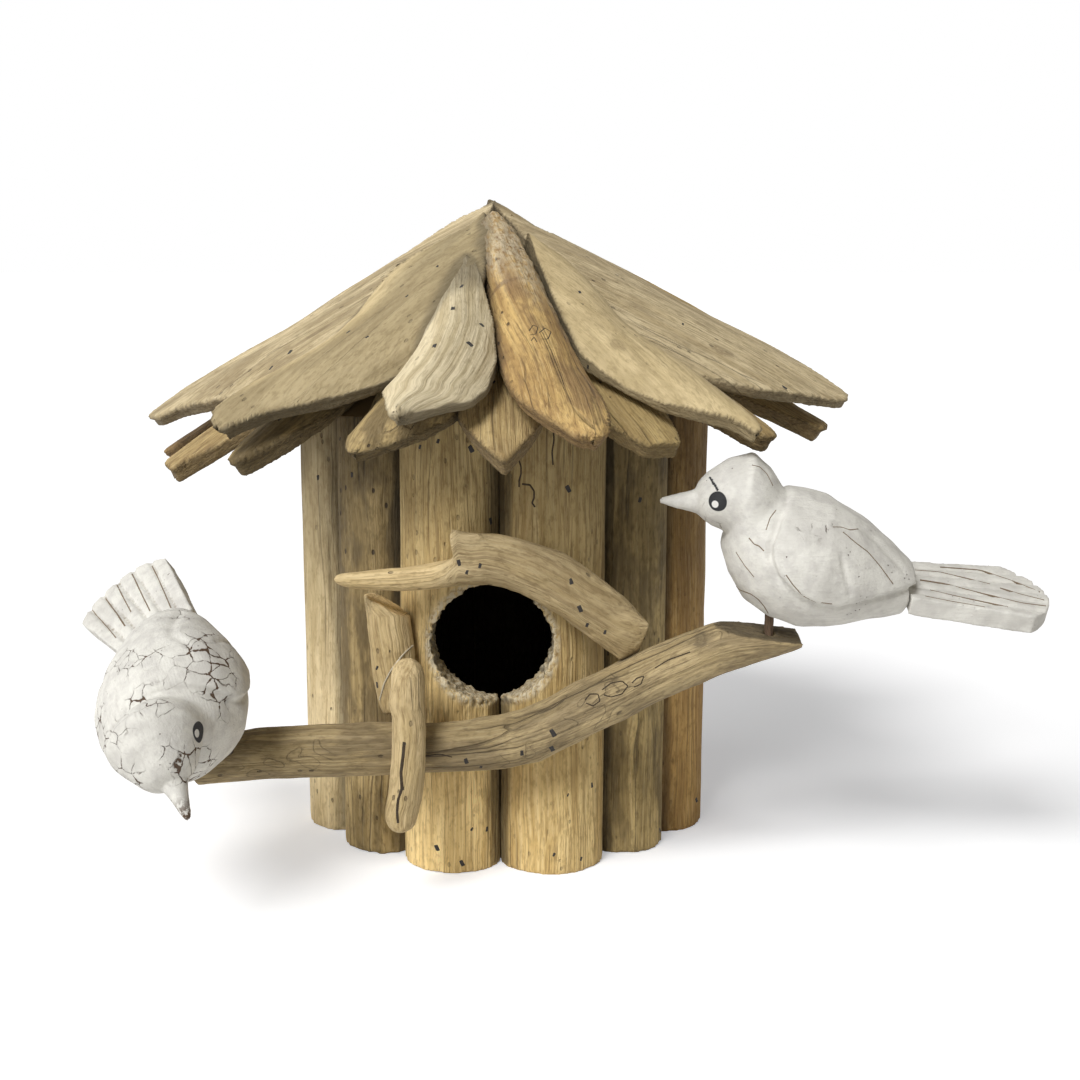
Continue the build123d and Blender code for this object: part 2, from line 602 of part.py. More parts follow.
left_forward, left_up = Vector(*LEFT_FORWARD).normalized(), Vector(*LEFT_UP).normalized()
right_forward, right_up = Vector(*RIGHT_FORWARD).normalized(), Vector(*RIGHT_UP).normalized()
left_stand = perch_at(LEFT_LEG_SHARE) + left_up * (PERCH_RADIUS + LEFT_LEG_STAND)
right_stand = perch_at(RIGHT_LEG_SHARE) + right_up * RIGHT_LEG_STAND
left_leg = Plane(origin=left_stand, z_dir=left_up * -1)
right_leg = Plane(origin=right_stand, z_dir=right_up * -1)
left_frame = bird_frame(left_stand, left_forward, left_up)
right_frame = bird_frame(right_stand, right_forward, right_up)
make_perch([left_leg, right_leg])
make_brow()
make_jamb()
make_twig()
make_bird("left", left_frame, left_leg, LEFT_TAIL_TURN, LEFT_TAIL_DROP, LEFT_TAIL_ROLL)
make_bird("right", right_frame, right_leg, RIGHT_TAIL_TURN, RIGHT_TAIL_DROP, RIGHT_TAIL_ROLL)
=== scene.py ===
"""Looks of the driftwood birdhouse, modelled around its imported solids.

Everything is in metres, in the frame of the solids: the front faces -Y, +X is to the right and +Z is
up. Grain and carving coordinates, which the finishes read, are in millimetres.
"""

from math import radians

import bpy
import numpy as np
from mathutils import Matrix, Vector
from mathutils.bvhtree import BVHTree


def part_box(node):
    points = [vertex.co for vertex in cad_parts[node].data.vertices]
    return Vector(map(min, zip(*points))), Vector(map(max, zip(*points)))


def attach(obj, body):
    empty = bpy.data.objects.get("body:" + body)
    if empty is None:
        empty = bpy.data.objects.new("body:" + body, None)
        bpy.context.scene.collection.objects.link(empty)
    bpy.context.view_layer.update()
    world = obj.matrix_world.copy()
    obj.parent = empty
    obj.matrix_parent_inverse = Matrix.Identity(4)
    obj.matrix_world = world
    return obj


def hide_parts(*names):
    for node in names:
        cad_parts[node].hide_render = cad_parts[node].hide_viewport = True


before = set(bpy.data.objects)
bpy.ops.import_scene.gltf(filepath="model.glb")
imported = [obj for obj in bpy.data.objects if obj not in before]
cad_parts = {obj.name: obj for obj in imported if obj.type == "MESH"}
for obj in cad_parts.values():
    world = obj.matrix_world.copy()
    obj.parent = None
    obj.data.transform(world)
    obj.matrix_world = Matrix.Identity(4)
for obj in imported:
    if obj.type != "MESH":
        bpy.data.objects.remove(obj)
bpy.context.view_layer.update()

MM = 0.001
WELD = 1e-6
PHOTO_PIXELS = 1080

# Camera, as it stood for the photograph
CAMERA_PLACE = (0.012, -0.557, 0.196)
CAMERA_PITCH = 79.8
CAMERA_LENS = 53.333
CAMERA_SENSOR = 36.0

# Light and ground
AMBIENT = 0.13
AMBIENT_COLOUR = (1.0, 0.86, 0.62)
LAMPS = (  # name, strength, spread in degrees, direction
    ("key", 2.5, 24.0, (0.36, 0.62, -0.74)),
    ("window", 1.0, 45.0, (1.0, 0.25, -0.45)),
)
GROUND_SIZE = 30.0
GROUND_WHITE = (0.88, 0.88, 0.88)
GROUND_LIFT = 0.37
GROUND_TINT = (0.96, 1.0, 1.08)  # against the warm ambient light, so that shadows come out grey

# What the driftwood finish takes: colours and shares of a tone, then masks kept on each skin
TONE_COLOURS = ("Pale", "Deep", "Stain")
TONE_SHARES = ("Fibre", "Stains", "Pores", "Checks", "Contours")
SKIN_MASKS = ("Sawn", "Knot", "Hollow", "Fuzz", "Soot", "Fade")

# Colours that all wood shares
FIBRE_SHINE = (0.80, 0.70, 0.48, 1.0)
HOLE_BROWN = (0.035, 0.022, 0.012, 1.0)
RAW_FIBRE = (0.60, 0.53, 0.38, 1.0)
SHADE_AND_DARKENING_BLACK = (0.012, 0.009, 0.006, 1.0)

# Colours of the painted birds
PAINT_WHITE = (0.76, 0.75, 0.70, 1.0)
PAINT_GREY = (0.60, 0.585, 0.555, 1.0)
BRUSH_GREY = (0.50, 0.475, 0.43, 1.0)
PATCH_GREY = (0.56, 0.545, 0.51, 1.0)
PAINT_SOIL = (0.20, 0.145, 0.09, 1.0)
BARE_GROUND = (0.085, 0.052, 0.03, 1.0)
EYE_BLACK = (0.012, 0.012, 0.014, 1.0)
EYE_WHITE = (0.80, 0.79, 0.76, 1.0)

# Finishes of the small parts: colour and roughness
PLAIN_FINISHES = {
    "rusted_brad": ((0.022, 0.017, 0.013), 0.7),
    "worm_track": ((0.055, 0.036, 0.018), 0.9),
    "bare_crack": ((0.27, 0.20, 0.13), 0.9),
    "dried_glue": ((0.66, 0.58, 0.42), 0.25),
}
GRIME_SHARE = 0.45
GRIME_SCALE = (900.0, 900.0, 900.0)

# Depth of the bump in each finish, in millimetres
WOOD_BUMP = 1.1
PAINT_BUMP = 0.45
PLAIN_BUMP = 0.08

# Wood tones: pale, deep and stain colours, then shares of fibre, stain, pores, checks and contours
TONES = {
    "straw": ((0.66, 0.50, 0.23), (0.47, 0.33, 0.13), (0.24, 0.15, 0.055), 1.0, 0.15, 0.40, 0.30, 0.0),
    "wheat": ((0.82, 0.63, 0.30), (0.62, 0.45, 0.19), (0.28, 0.18, 0.07), 1.0, 0.15, 0.40, 0.30, 0.0),
    "tan": ((0.42, 0.31, 0.14), (0.26, 0.185, 0.075), (0.10, 0.07, 0.03), 0.6, 0.80, 1.00, 0.50, 0.0),
    "buff": ((0.74, 0.61, 0.37), (0.58, 0.46, 0.25), (0.32, 0.23, 0.11), 0.7, 0.35, 0.60, 0.40, 0.0),
    "umber": ((0.48, 0.36, 0.16), (0.29, 0.21, 0.085), (0.12, 0.085, 0.035), 0.8, 0.75, 0.60, 0.50, 0.0),
    "amber": ((0.50, 0.32, 0.115), (0.35, 0.21, 0.07), (0.19, 0.11, 0.04), 0.9, 0.35, 0.30, 0.40, 0.0),
    "cream": ((0.66, 0.53, 0.30), (0.52, 0.41, 0.22), (0.33, 0.25, 0.13), 0.30, 0.35, 0.40, 0.15, 0.0),
    "bleached": ((0.76, 0.66, 0.45), (0.50, 0.41, 0.245), (0.34, 0.27, 0.155), 0.55, 0.15, 0.40, 0.10, 0.0),
    "bark": ((0.56, 0.385, 0.15), (0.37, 0.235, 0.085), (0.17, 0.10, 0.045), 0.7, 0.75, 0.90, 0.45, 0.3),
    "honey": ((0.54, 0.40, 0.185), (0.39, 0.275, 0.115), (0.20, 0.13, 0.055), 1.0, 0.35, 0.50, 0.40, 0.0),
    "dove": ((0.64, 0.53, 0.33), (0.47, 0.375, 0.215), (0.23, 0.17, 0.09), 0.7, 0.55, 0.60, 0.40, 0.0),
    "drift": ((0.50, 0.385, 0.205), (0.32, 0.24, 0.115), (0.13, 0.095, 0.05), 0.8, 0.60, 0.70, 0.60, 0.5),
    "limb": ((0.52, 0.385, 0.165), (0.38, 0.27, 0.105), (0.20, 0.135, 0.055), 0.8, 0.35, 0.60, 0.40, 0.0),
    "withy": ((0.68, 0.53, 0.29), (0.52, 0.39, 0.19), (0.25, 0.17, 0.075), 0.8, 0.30, 0.60, 0.40, 0.0),
    "sawn": ((0.48, 0.35, 0.17), (0.34, 0.24, 0.11), (0.20, 0.13, 0.055), 0.8, 0.40, 0.30, 0.30, 0.0),
    "peg": ((0.16, 0.10, 0.06), (0.09, 0.06, 0.04), (0.04, 0.03, 0.02), 0.8, 0.50, 0.20, 0.30, 0.0),
}

# Tone of each stave and petal: the rest take the tones in turn
STAVE_TONES = {
    "front_right_stave": "straw",
    "front_left_stave": "wheat",
    "left_front_stave": "tan",
    "left_stave": "buff",
    "right_front_stave": "umber",
    "right_stave": "amber",
}
SPARE_STAVE_TONES = ("buff", "tan", "straw", "umber", "honey", "tan", "amber")
PETAL_TONES = {
    "upper_petal_front": "bark",
    "upper_petal_front_right": "cream",
    "upper_petal_right": "dove",
    "upper_petal_left": "dove",
    "upper_petal_front_left": "cream",
    "upper_petal_short": "bleached",
    "lower_petal_front": "honey",
    "lower_petal_front_right": "limb",
    "lower_petal_front_left": "tan",
    "lower_petal_right_front": "honey",
    "lower_petal_left_front": "honey",
    "lower_petal_front_left_outer": "tan",
}
SPARE_PETAL_TONES = ("dove", "honey", "tan", "buff", "bark", "cream")

# Petals: lift (mm), roll (degrees), crown (mm), place of the ridge across, tint and painted shade, height
# of outline (mm)
PETAL_SHAPES = {
    "upper_petal_front": (2.5, 0.0, 3.5, 0.0, 0.15, 2.5),
    "upper_petal_short": (3.5, 5.0, 3.5, 0.2, -0.12, 2.0),
    "upper_petal_front_left": (2.0, 13.0, 4.5, 0.55, -0.32, 1.5),
    "upper_petal_left": (-1.5, 11.0, 2.0, 0.2, 0.0, 2.5),
    "upper_petal_front_right": (2.5, -9.0, 2.0, -0.3, 0.0, 1.5),
    "upper_petal_right": (-1.5, -11.0, 1.5, -0.2, 0.10, 2.5),
    "lower_petal_front_left": (0.0, 0.0, 2.5, 0.0, 0.05, 1.5),
}
SPARE_PETAL_SHAPE = (0.0, 0.0, 2.0, 0.0, 0.0, 0.0)

# Outlines of the petals in front, in pixels of the photograph
PETAL_OUTLINES = {
    "upper_petal_front": [
        (487, 218), (500, 218), (514, 231), (532, 262), (555, 305), (577, 350), (600, 395), (606, 416),
        (604, 432), (594, 441), (577, 435), (542, 415), (522, 400), (508, 377), (495, 340), (489, 290),
        (479, 257), (480, 228),
    ],
    "upper_petal_short": [
        (468, 261), (477, 267), (484, 288), (493, 325), (496, 358), (488, 380), (470, 398), (440, 405),
        (397, 418), (390, 408), (383, 390), (395, 375), (420, 337), (442, 292), (456, 270),
    ],
    "upper_petal_front_left": [
        (486, 221), (492, 240), (486, 290), (460, 335), (420, 358), (370, 384), (332, 397), (270, 415),
        (227, 434), (221, 429), (227, 416), (240, 407), (270, 385), (320, 350), (360, 320), (402, 280),
        (440, 252), (470, 235),
    ],
    "upper_petal_left": [
        (498, 205), (490, 222), (440, 268), (390, 310), (340, 348), (290, 380), (240, 392), (180, 408),
        (157, 420), (151, 419), (160, 410), (220, 379), (300, 325), (395, 266), (460, 225),
    ],
    "upper_petal_front_right": [
        (526, 240), (560, 261), (582, 280), (620, 316), (650, 339), (689, 367), (730, 405), (754, 428),
        (756, 436), (735, 421), (660, 400), (600, 367), (578, 352), (556, 312), (534, 264),
    ],
    "upper_petal_right": [
        (486, 205), (502, 211), (540, 235), (620, 281), (700, 325), (785, 371), (838, 399), (844, 403),
        (810, 396), (760, 387), (700, 368), (650, 348), (600, 310), (540, 260), (505, 222),
    ],
    "lower_petal_front_left": [
        (470, 330), (478, 380), (455, 412), (420, 433), (380, 449), (356, 457), (347, 447), (347, 436),
        (372, 395), (400, 360), (430, 335),
    ],
}
HIDDEN_EDGES = {"upper_petal_left": "other", "upper_petal_right": "clockwise"}  # edges left as they are
BENT_GRAIN = {"upper_petal_short"}  # petals whose fibres follow their outline
BARKED = {"upper_petal_front": (0.50, 0.25)}  # where along it the bark that is left ends

# Skins: how fine each kind of piece is remeshed, in millimetres
FINE_STAVE_VOXEL = 0.8
STAVE_VOXEL = 1.1
FINE_PETAL_VOXEL = 0.8
PETAL_VOXEL = 1.1
PERCH_VOXEL = 0.7
TWIG_VOXEL = 0.6
BIRD_VOXEL = 0.65
TAIL_VOXEL = 0.45
PEG_VOXEL = 0.35

# Relief of the skins: rise, and size of its cells across, out and along, in millimetres
STAVE_SWELL = (1.1, (17, 17, 60))
STAVE_RIPPLE = (0.5, (3.0, 3.0, 40))
RIM_FIBRES = (2.6, (1.6, 4.0, 1.6))
PETAL_SWELL = (1.6, (22, 22, 45))
PETAL_RIPPLE = (0.7, (3.5, 3.5, 26))
BARK_RELIEF = (1.8, (3.0, 3.0, 6.0))
KNIFE_MARKS = (0.7, (9, 9, 9))
TAIL_SWELL = (0.8, (11, 11, 11))
PEG_RIPPLE = (0.5, (2, 2, 2))
BRAD_RUST = (0.3, (1.2, 1.2, 1.2))
LIMB_SWELL = (1.3, 9, 26)  # rise, then cells across and along
LIMB_RIPPLE = (0.6, 3.6, 10.4)
LEAST_WEIGHT = 0.004  # points that weigh less aren't moved

# Petals: how they are shaped and weathered
PETAL_SEED = 20
OUTLINE_BINS = 40
TIP_START = 0.7  # share of its length from which a petal thins to its tip
CROWN_RUN = 45.0  # how far from its root a petal reaches its full crown, in millimetres
BARK_WAVE = 0.05  # how ragged the bark ends, in shares of the length
BARK_WAVES = 0.7  # in radians for each millimetre across
BARK_SLANT = 0.012
BARK_FUZZ = 0.6
HIGHLIGHT_START = 0.3
HIGHLIGHT_END = 0.2
PETAL_SEAM_SHADE = (3.0, 0.55)  # reach of the painted seam shade in millimetres, and its strength
SEEN_FRONT = -0.012  # petals that reach further to the front than this can be seen
TIP_MARGIN = 0.3  # how far inside a petal's ends its outline is read, in millimetres
TIP_THINNING = 0.4
RIDGE_HIGHLIGHT = 0.9  # painted highlight: how much paler a petal is beyond its ridge, for a ridge right at its edge
SAWN_SHADE = 0.38  # painted shade: how much darker the sawn edges of a petal are

# Staves: how they are shaped and weathered
STAVE_SHADE_HEIGHTS = (0.0, 25.0, 70.0, 115.0, 150.0)  # painted light and shade: staves are paler at the foot than under the eaves, where the roof shades them
STAVE_SHADES = (0.38, 0.34, 0.08, -0.27, -0.42)
STAVE_SPREAD = 1.07  # how much wider a rear stave's skin is than its solid, so that no light gets in
FRONT_STAVE_SPREAD = 1.02
RIM_REACH = (3.5, 0.6)  # beyond the entrance, where the rim's fibres start and where they are full
RIM_FUZZ_REACH = (3.2, 0.8)
STAVE_EDGE_SHADE = 0.7

# Entrance, from the front staves
ENTRANCE_CENTRE = (-3.0, 75.5)
ENTRANCE_RADIUS = 19.0

# Birds: the frame of each carving, in millimetres, and what is carved and painted on it
BIRD_FRAMES = {
    "left": ((-97.3, -97.0, 65.2), (0.43, -0.62, -0.65), (-0.39, -0.776, 0.485)),
    "right": ((94.6, -81.0, 104.5), (-1.0, 0.0, 0.0), (0.0, 0.0, 1.0)),
}
WING_OUTLINE = [
    (-45.0, 45.0), (6.5, 45.0), (8.6, 20.6), (12.5, 13.5), (15.2, 7.1), (15.0, 3.0), (13.1, -0.9),
    (8.7, -5.7), (0.8, -9.6), (-4.3, -10.2), (-25.3, -6.5), (-45.0, -5.0),
]
WING_CREASE = [(-2.7, 12.8), (-10.0, 11.3), (-16.6, 5.7), (-23.9, -1.8)]
WING_FOLD = [(-4.0, 4.5), (-7.0, -6.0)]
EYE_PIXELS = {"left": (199, 732), "right": (717.5, 501.5)}
EYE_DOTS = {"left": (0.7, 0.9), "right": (0.9, -0.9)}  # white dot: forward and up of the eye
EYE_RADIUS = 3.0
EYE_DOT_RADIUS = 1.2
SMEAR_ENDS = ((32.0, 25.4), (30.3, 22.6))
SMEAR_RADIUS = 0.35
SMEAR_BREAKS = 1.1
EYE_BLUR = 0.08
BIRD_PAINTS = {"left": (0.4, 0.0), "right": (-0.45, 1.0)}  # crackle, and smear over the eye
BODY_SOIL = 0.3
TAIL_CRACKLE = -3.0
TAIL_SOIL = 1.5
NAPE_HEIGHTS = (19.0, 9.0)  # the wing's relief fades out between these heights
NAPE_SHARE = 0.25
WING_RISE = 1.7
WING_STEP = (-0.6, 1.0)
GROOVE_RISE = -0.7
GROOVE_WIDTH = (1.4, 0.1)
CREASE_RISE = -0.5
CREASE_WIDTH = (1.2, 0.1)
KNIFE_SHIFT = (0.003, 0.002, 0.0)

# Brads seen in the photograph, in its pixels, on the piece that each is driven into
BRADS = {
    "front_left_stave": [
        (420, 447), (438, 441), (471, 449), (428, 428), (499, 487), (491, 521), (437, 848), (462, 863),
        (472, 829), (487, 829),
    ],
    "front_right_stave": [
        (553, 425), (567, 435), (568, 489), (610, 479), (568, 795), (592, 785), (554, 855), (581, 859),
        (603, 854),
    ],
    "left_front_stave": [(340, 439), (352, 475)],
    "left_stave": [(318, 478), (314, 433)],
    "right_front_stave": [(660, 830), (640, 500)],
    "brow_branch": [(467, 572), (571, 581), (580, 609), (459, 563), (480, 566), (587, 625), (605, 632)],
    "jamb_stub": [(377, 668), (377, 685)],
    "perch_branch": [(466, 761), (481, 767), (522, 753), (553, 733), (552, 749)],
    "crooked_twig": [(404, 745)],
    "upper_petal_front_left": [(438, 266), (407, 296), (367, 337), (348, 332)],
    "upper_petal_short": [(462, 286), (453, 308), (434, 346), (470, 344), (482, 325)],
    "upper_petal_left": [(271, 368), (290, 352)],
    "upper_petal_front_right": [(580, 292), (588, 367)],
    "upper_petal_right": [(683, 324), (784, 387)],
    "lower_petal_front": [(494, 382)],
    "lower_petal_front_right": [(588, 368), (606, 376)],
}
BRAD_SIZE = (1.5, 2.4, 0.9)
BRAD_PROUD = 0.06
BRAD_BEVEL = 0.3
BRAD_TURN = 0.5
BRAD_SHARES = (0.85, 0.2)  # middle and spread of the sizes
REAR_BRADS = ((139.0, 4.0), (7.0, 4.0), (141.0, -5.0), (9.0, -5.0))  # height and place to the side
REAR_BRAD_TURNS = (-0.4, 0.3)  # first turn, and what each next one adds
REAR_BRAD_START = 0.15  # from where a rear brad is aimed at its stave, in metres

# Knots: pixel, then half width and half length along the grain in millimetres
KNOTS = {
    "upper_petal_left": [(319, 331, 2.4, 9.0)],
    "upper_petal_front_right": [(618, 344, 3.0, 4.5)],
    "upper_petal_right": [(722, 350, 4.0, 7.0)],
    "perch_branch": [(700, 640, 3.0, 3.6)],
    "upper_petal_front": [(503, 283, 9.0, 1.6)],
}
KNOT_END = 2.0  # where a knot no longer shows, in shares of its size
KNOT_DEPTH = 6.0
SEED_SHIFT = (53.0, 17.0, 131.0)  # how far one step of the seed moves a pattern, in millimetres

# Worm tracks and splits: radius in millimetres, pixels along it
TRACKS = {
    "front_right_stave": [
        (0.45, [(519, 460), (521, 467), (521, 474), (519, 481), (519, 487)]),
        (0.45, [(522, 484), (530, 485), (534, 491), (534, 498), (532, 503), (535, 507)]),
        (0.35, [(553, 425), (554, 440), (552, 452), (553, 465)]),
    ],
    "crooked_twig": [
        (0.75, [(404, 742), (403, 757), (401, 772), (402, 790)]),
        (0.6, [(402, 788), (398, 800), (397, 812), (398, 823)]),
    ],
    "perch_branch": [
        (0.3, [(585, 700), (590, 694), (598, 694), (600, 701), (593, 706), (586, 703)]),
        (0.3, [(602, 690), (611, 683), (622, 681), (628, 686), (622, 694), (611, 697), (604, 695)]),
        (0.3, [(632, 683), (637, 678), (644, 676), (641, 684), (634, 687)]),
        (0.3, [(655, 668), (668, 660), (690, 652)]),
        (0.3, [(410, 758), (440, 754), (452, 757)]),
    ],
    "upper_petal_front": [
        (0.25, [(529, 331), (533, 325), (538, 327), (536, 334), (530, 335)]),
        (0.25, [(539, 333), (545, 328), (551, 332), (548, 339), (541, 339)]),
        (0.25, [(531, 341), (534, 337), (537, 342)]),
        (0.3, [(519, 248), (527, 251), (536, 260)]),
    ],
}

# Cracks in the paint: radius in millimetres, pixels along it
PAINT_CRACKS = {
    "right_bird_body": [
        (0.22, [(749, 538), (754, 544), (759, 546), (764, 551)]),
        (0.20, [(736, 552), (739, 557), (745, 566), (754, 577)]),
        (0.30, [(733, 583), (740, 590), (751, 594), (758, 599), (764, 606), (768, 613)]),
        (0.20, [(786, 575), (793, 585), (803, 596), (815, 602), (832, 604)]),
        (0.25, [(833, 527), (841, 527), (850, 530), (858, 529)]),
        (0.22, [(843, 532), (856, 543), (868, 552), (880, 566), (893, 584)]),
        (0.22, [(752, 465), (760, 467), (767, 474), (773, 486)]),
        (0.18, [(776, 510), (770, 518), (766, 530)]),
    ],
    "right_bird_tail": [
        (0.25, [(915, 570), (940, 572), (965, 578), (990, 584)]),
        (0.30, [(920, 580), (946, 584), (984, 594), (1022, 603), (1046, 606)]),
        (0.25, [(930, 590), (965, 598), (1008, 607)]),
        (0.30, [(940, 567), (980, 570), (1010, 580), (1040, 592)]),
        (0.22, [(925, 596), (950, 601), (985, 607)]),
        (0.25, [(1000, 588), (1020, 594), (1044, 600)]),
    ],
    "left_bird_tail": [
        (0.25, [(110, 572), (117, 585), (123, 597), (131, 612)]),
        (0.30, [(100, 590), (108, 602), (117, 614), (125, 626)]),
        (0.22, [(88, 604), (97, 616), (108, 628), (116, 638)]),
        (0.25, [(128, 566), (136, 582), (143, 597), (150, 611)]),
        (0.22, [(150, 562), (158, 578), (165, 594), (171, 608)]),
    ],
}

# Corners and tips drawn out of the limbs: pixel that is drawn, pixel it is drawn to, reach in millimetres
LIMB_PULLS = {
    "brow_branch": [
        ((462, 547), (452, 529), 7.0), ((476, 543), (477, 534), 5.0), ((638, 628), (648, 624), 7.0),
        ((345, 581), (334, 579), 5.0), ((622, 652), (620, 660), 6.0),
    ],
    "crooked_twig": [
        ((405, 672), (412, 661), 7.0), ((396, 815), (389, 820), 8.0), ((403, 822), (408, 831), 5.0),
        ((394, 700), (388, 702), 6.0),
    ],
}

# Limbs: voxel, axis along, steps along the spine, tone and seed
LIMBS = {
    "perch_branch": (PERCH_VOXEL, 0, 40, "drift", 51),
    "brow_branch": (TWIG_VOXEL, 0, 24, "withy", 52),
    "jamb_stub": (TWIG_VOXEL, 2, 10, "withy", 53),
    "crooked_twig": (TWIG_VOXEL, 2, 14, "withy", 54),
}
LIMB_SEAM_SHADE = (1.6, 0.6)  # reach of the painted seam shade in millimetres, and its strength
LINE_STEPS = 4  # points that a line gets for each pixel listed
TRACK_SINK = 0.7  # how deep lines lie, in shares of their radius
CRACK_SINK = 0.5
PERCH_REACH = 4.5  # how much further the perch runs behind the left bird
PERCH_STRETCH = (-70.0, -92.0)  # where along the perch that starts and ends
PERCH_CUT = (0.35, -0.1, 0.93)
PERCH_CUT_START = (60.0, 66.0)
PERCH_CUT_DARKENING = 0.62
BROW_FADE = -0.27
SPUR_FADE = 0.42
SPUR_START = (-12.0, -22.0)
JAMB_TOP_PALING = 0.30
GLUE_RADIUS = 0.3
GLUE_SINK = -0.1
GLUE = [(435, 627), (420, 639), (405, 652), (397, 662), (390, 672), (384, 684), (380, 700)]


def pick(piece):
    """Make one object the only selected one, and the active one."""
    bpy.ops.object.select_all(action="DESELECT")
    piece.select_set(True)
    bpy.context.view_layer.objects.active = piece


def finish_with(piece, kind, **settings):
    """Add a modifier, set it and apply it."""
    modifier = piece.modifiers.new(kind.title(), kind)
    for key, value in settings.items():
        setattr(modifier, key, value)
    pick(piece)
    bpy.ops.object.modifier_apply(modifier=modifier.name)


def skin_of(node, voxel, rounds):
    """Copy of a solid as one even skin: welded, remeshed and eased at its edges."""
    piece = bpy.data.objects.new(node + "_skin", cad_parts[node].data.copy())
    bpy.context.scene.collection.objects.link(piece)
    piece.data.materials.clear()
    pick(piece)
    bpy.ops.object.mode_set(mode="EDIT")
    bpy.ops.mesh.select_all(action="SELECT")
    bpy.ops.mesh.remove_doubles(threshold=WELD)
    bpy.ops.object.mode_set(mode="OBJECT")
    finish_with(piece, "REMESH", mode="VOXEL", voxel_size=voxel * MM, adaptivity=0.0)
    finish_with(piece, "SMOOTH", factor=0.5, iterations=rounds)
    return piece


def read(piece, what):
    """Points or normals of a skin, one row each."""
    flat = np.empty(len(piece.data.vertices) * 3, np.float32)
    piece.data.vertices.foreach_get(what, flat)
    return flat.reshape(-1, 3).astype(float)


def move(piece, points):
    """Put a skin's points in new places."""
    piece.data.vertices.foreach_set("co", points.astype(np.float32).ravel())
    piece.data.update()


def store(piece, name, values):
    """Keep values on a skin's points for its finish to read."""
    vector = values.ndim == 2
    attribute = piece.data.attributes.new(name, "FLOAT_VECTOR" if vector else "FLOAT", "POINT")
    attribute.data.foreach_set("vector" if vector else "value", values.astype(np.float32).ravel())


def step(values, low, high):
    """Smooth step from 0 at low to 1 at high."""
    share = np.clip((values - low) / (high - low), 0, 1)
    return share * share * (3 - 2 * share)


def weigh(piece, weights):
    """Name of a new vertex group that holds the weights of a skin's points."""
    group = piece.vertex_groups.new(name="weights")
    for index in np.nonzero(weights > LEAST_WEIGHT)[0]:
        group.add([int(index)], float(weights[index]), "REPLACE")
    return group.name


def press(piece, weights, rise):
    """Raise a skin along its normals by up to a rise in millimetres, or sink it by a negative one."""
    group = weigh(piece, weights)
    finish_with(piece, "DISPLACE", strength=rise * MM, mid_level=0.0, vertex_group=group)
    piece.vertex_groups.clear()


def roughen(piece, texture, relief, axes, weights=None):
    """Move a skin along its normals by a texture, with the rise and the cells of a relief."""
    rise, size = relief
    guide = bpy.data.objects.new("guide", None)
    bpy.context.scene.collection.objects.link(guide)
    guide.matrix_world = axes @ Matrix.Diagonal((*(Vector(size) * MM), 1))
    bpy.context.view_layer.update()
    finish_with(
        piece,
        "DISPLACE",
        texture=texture,
        texture_coords="OBJECT",
        texture_coords_object=guide,
        strength=rise * MM,
        mid_level=0.5,
        vertex_group="" if weights is None else weigh(piece, weights),
    )
    piece.vertex_groups.clear()
    bpy.data.objects.remove(guide)


def hollows(piece, rounds=0):
    """How far each point of a skin lies below its neighbours, in millimetres, evened out in rounds."""
    points, normals = read(piece, "co"), read(piece, "normal")
    edges = np.empty(len(piece.data.edges) * 2, np.int32)
    piece.data.edges.foreach_get("vertices", edges)
    first, second = edges.reshape(-1, 2).T
    count = np.bincount(edges, minlength=len(points))

    def around(values):
        total = np.zeros_like(values)
        np.add.at(total, first, values[second])
        np.add.at(total, second, values[first])
        return (total.T / count).T

    depth = np.einsum("ij,ij->i", around(points) - points, normals) / MM
    for _ in range(rounds):
        depth = (depth + around(depth)) / 2
    return depth


def axes_matrix(origin, across, out, along):
    """Matrix of a grain frame whose z runs along the fibres."""
    matrix = Matrix((across, out, along)).transposed().to_4x4()
    matrix.translation = Vector(origin)
    return matrix


def straight_grain(points, axes):
    """Across, out and along coordinates of points in a straight piece."""
    inverse = np.array(axes.inverted())
    return (points @ inverse[:3, :3].T + inverse[:3, 3]) / MM


def spine_grain(points, main, bins):
    """Across, out and along coordinates of points around the bent spine of a limb."""
    along = points[:, main]
    edges = np.linspace(along.min(), along.max(), bins + 1)
    middles = (edges[:-1] + edges[1:]) / 2
    which = np.clip(np.digitize(along, edges) - 1, 0, bins - 1)
    centres = np.array([points[which == i].mean(0) for i in range(bins)])
    centre = np.stack([np.interp(along, middles, centres[:, i]) for i in range(3)], 1)
    run = np.concatenate([[0], np.cumsum(np.linalg.norm(np.diff(centres, axis=0), axis=1))])
    side = 2 - main
    arc = np.interp(along, middles, run)
    return np.stack([points[:, side] - centre[:, side], points[:, 1] - centre[:, 1], arc], 1) / MM


def pixel_ray(pixel):
    """Direction in which the camera sees a pixel of the photograph."""
    half = PHOTO_PIXELS / 2
    scale = CAMERA_SENSOR / CAMERA_LENS / PHOTO_PIXELS
    seen = Vector(((pixel[0] - half) * scale, (half - pixel[1]) * scale, -1))
    return (Matrix.Rotation(radians(CAMERA_PITCH), 3, "X") @ seen).normalized()


def on_skin(piece, pixel):
    """Point and normal of a skin where the camera sees it at a pixel, or None where it misses."""
    found, point, normal, _ = piece.ray_cast(Vector(CAMERA_PLACE), pixel_ray(pixel))
    return (point, normal) if found else None


def dress(piece, node, material):
    """Give a finished skin its material and let it stand for its solid."""
    pick(piece)
    bpy.ops.object.shade_smooth()
    piece.data.materials.append(material)
    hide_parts(node)
    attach(piece, "root")


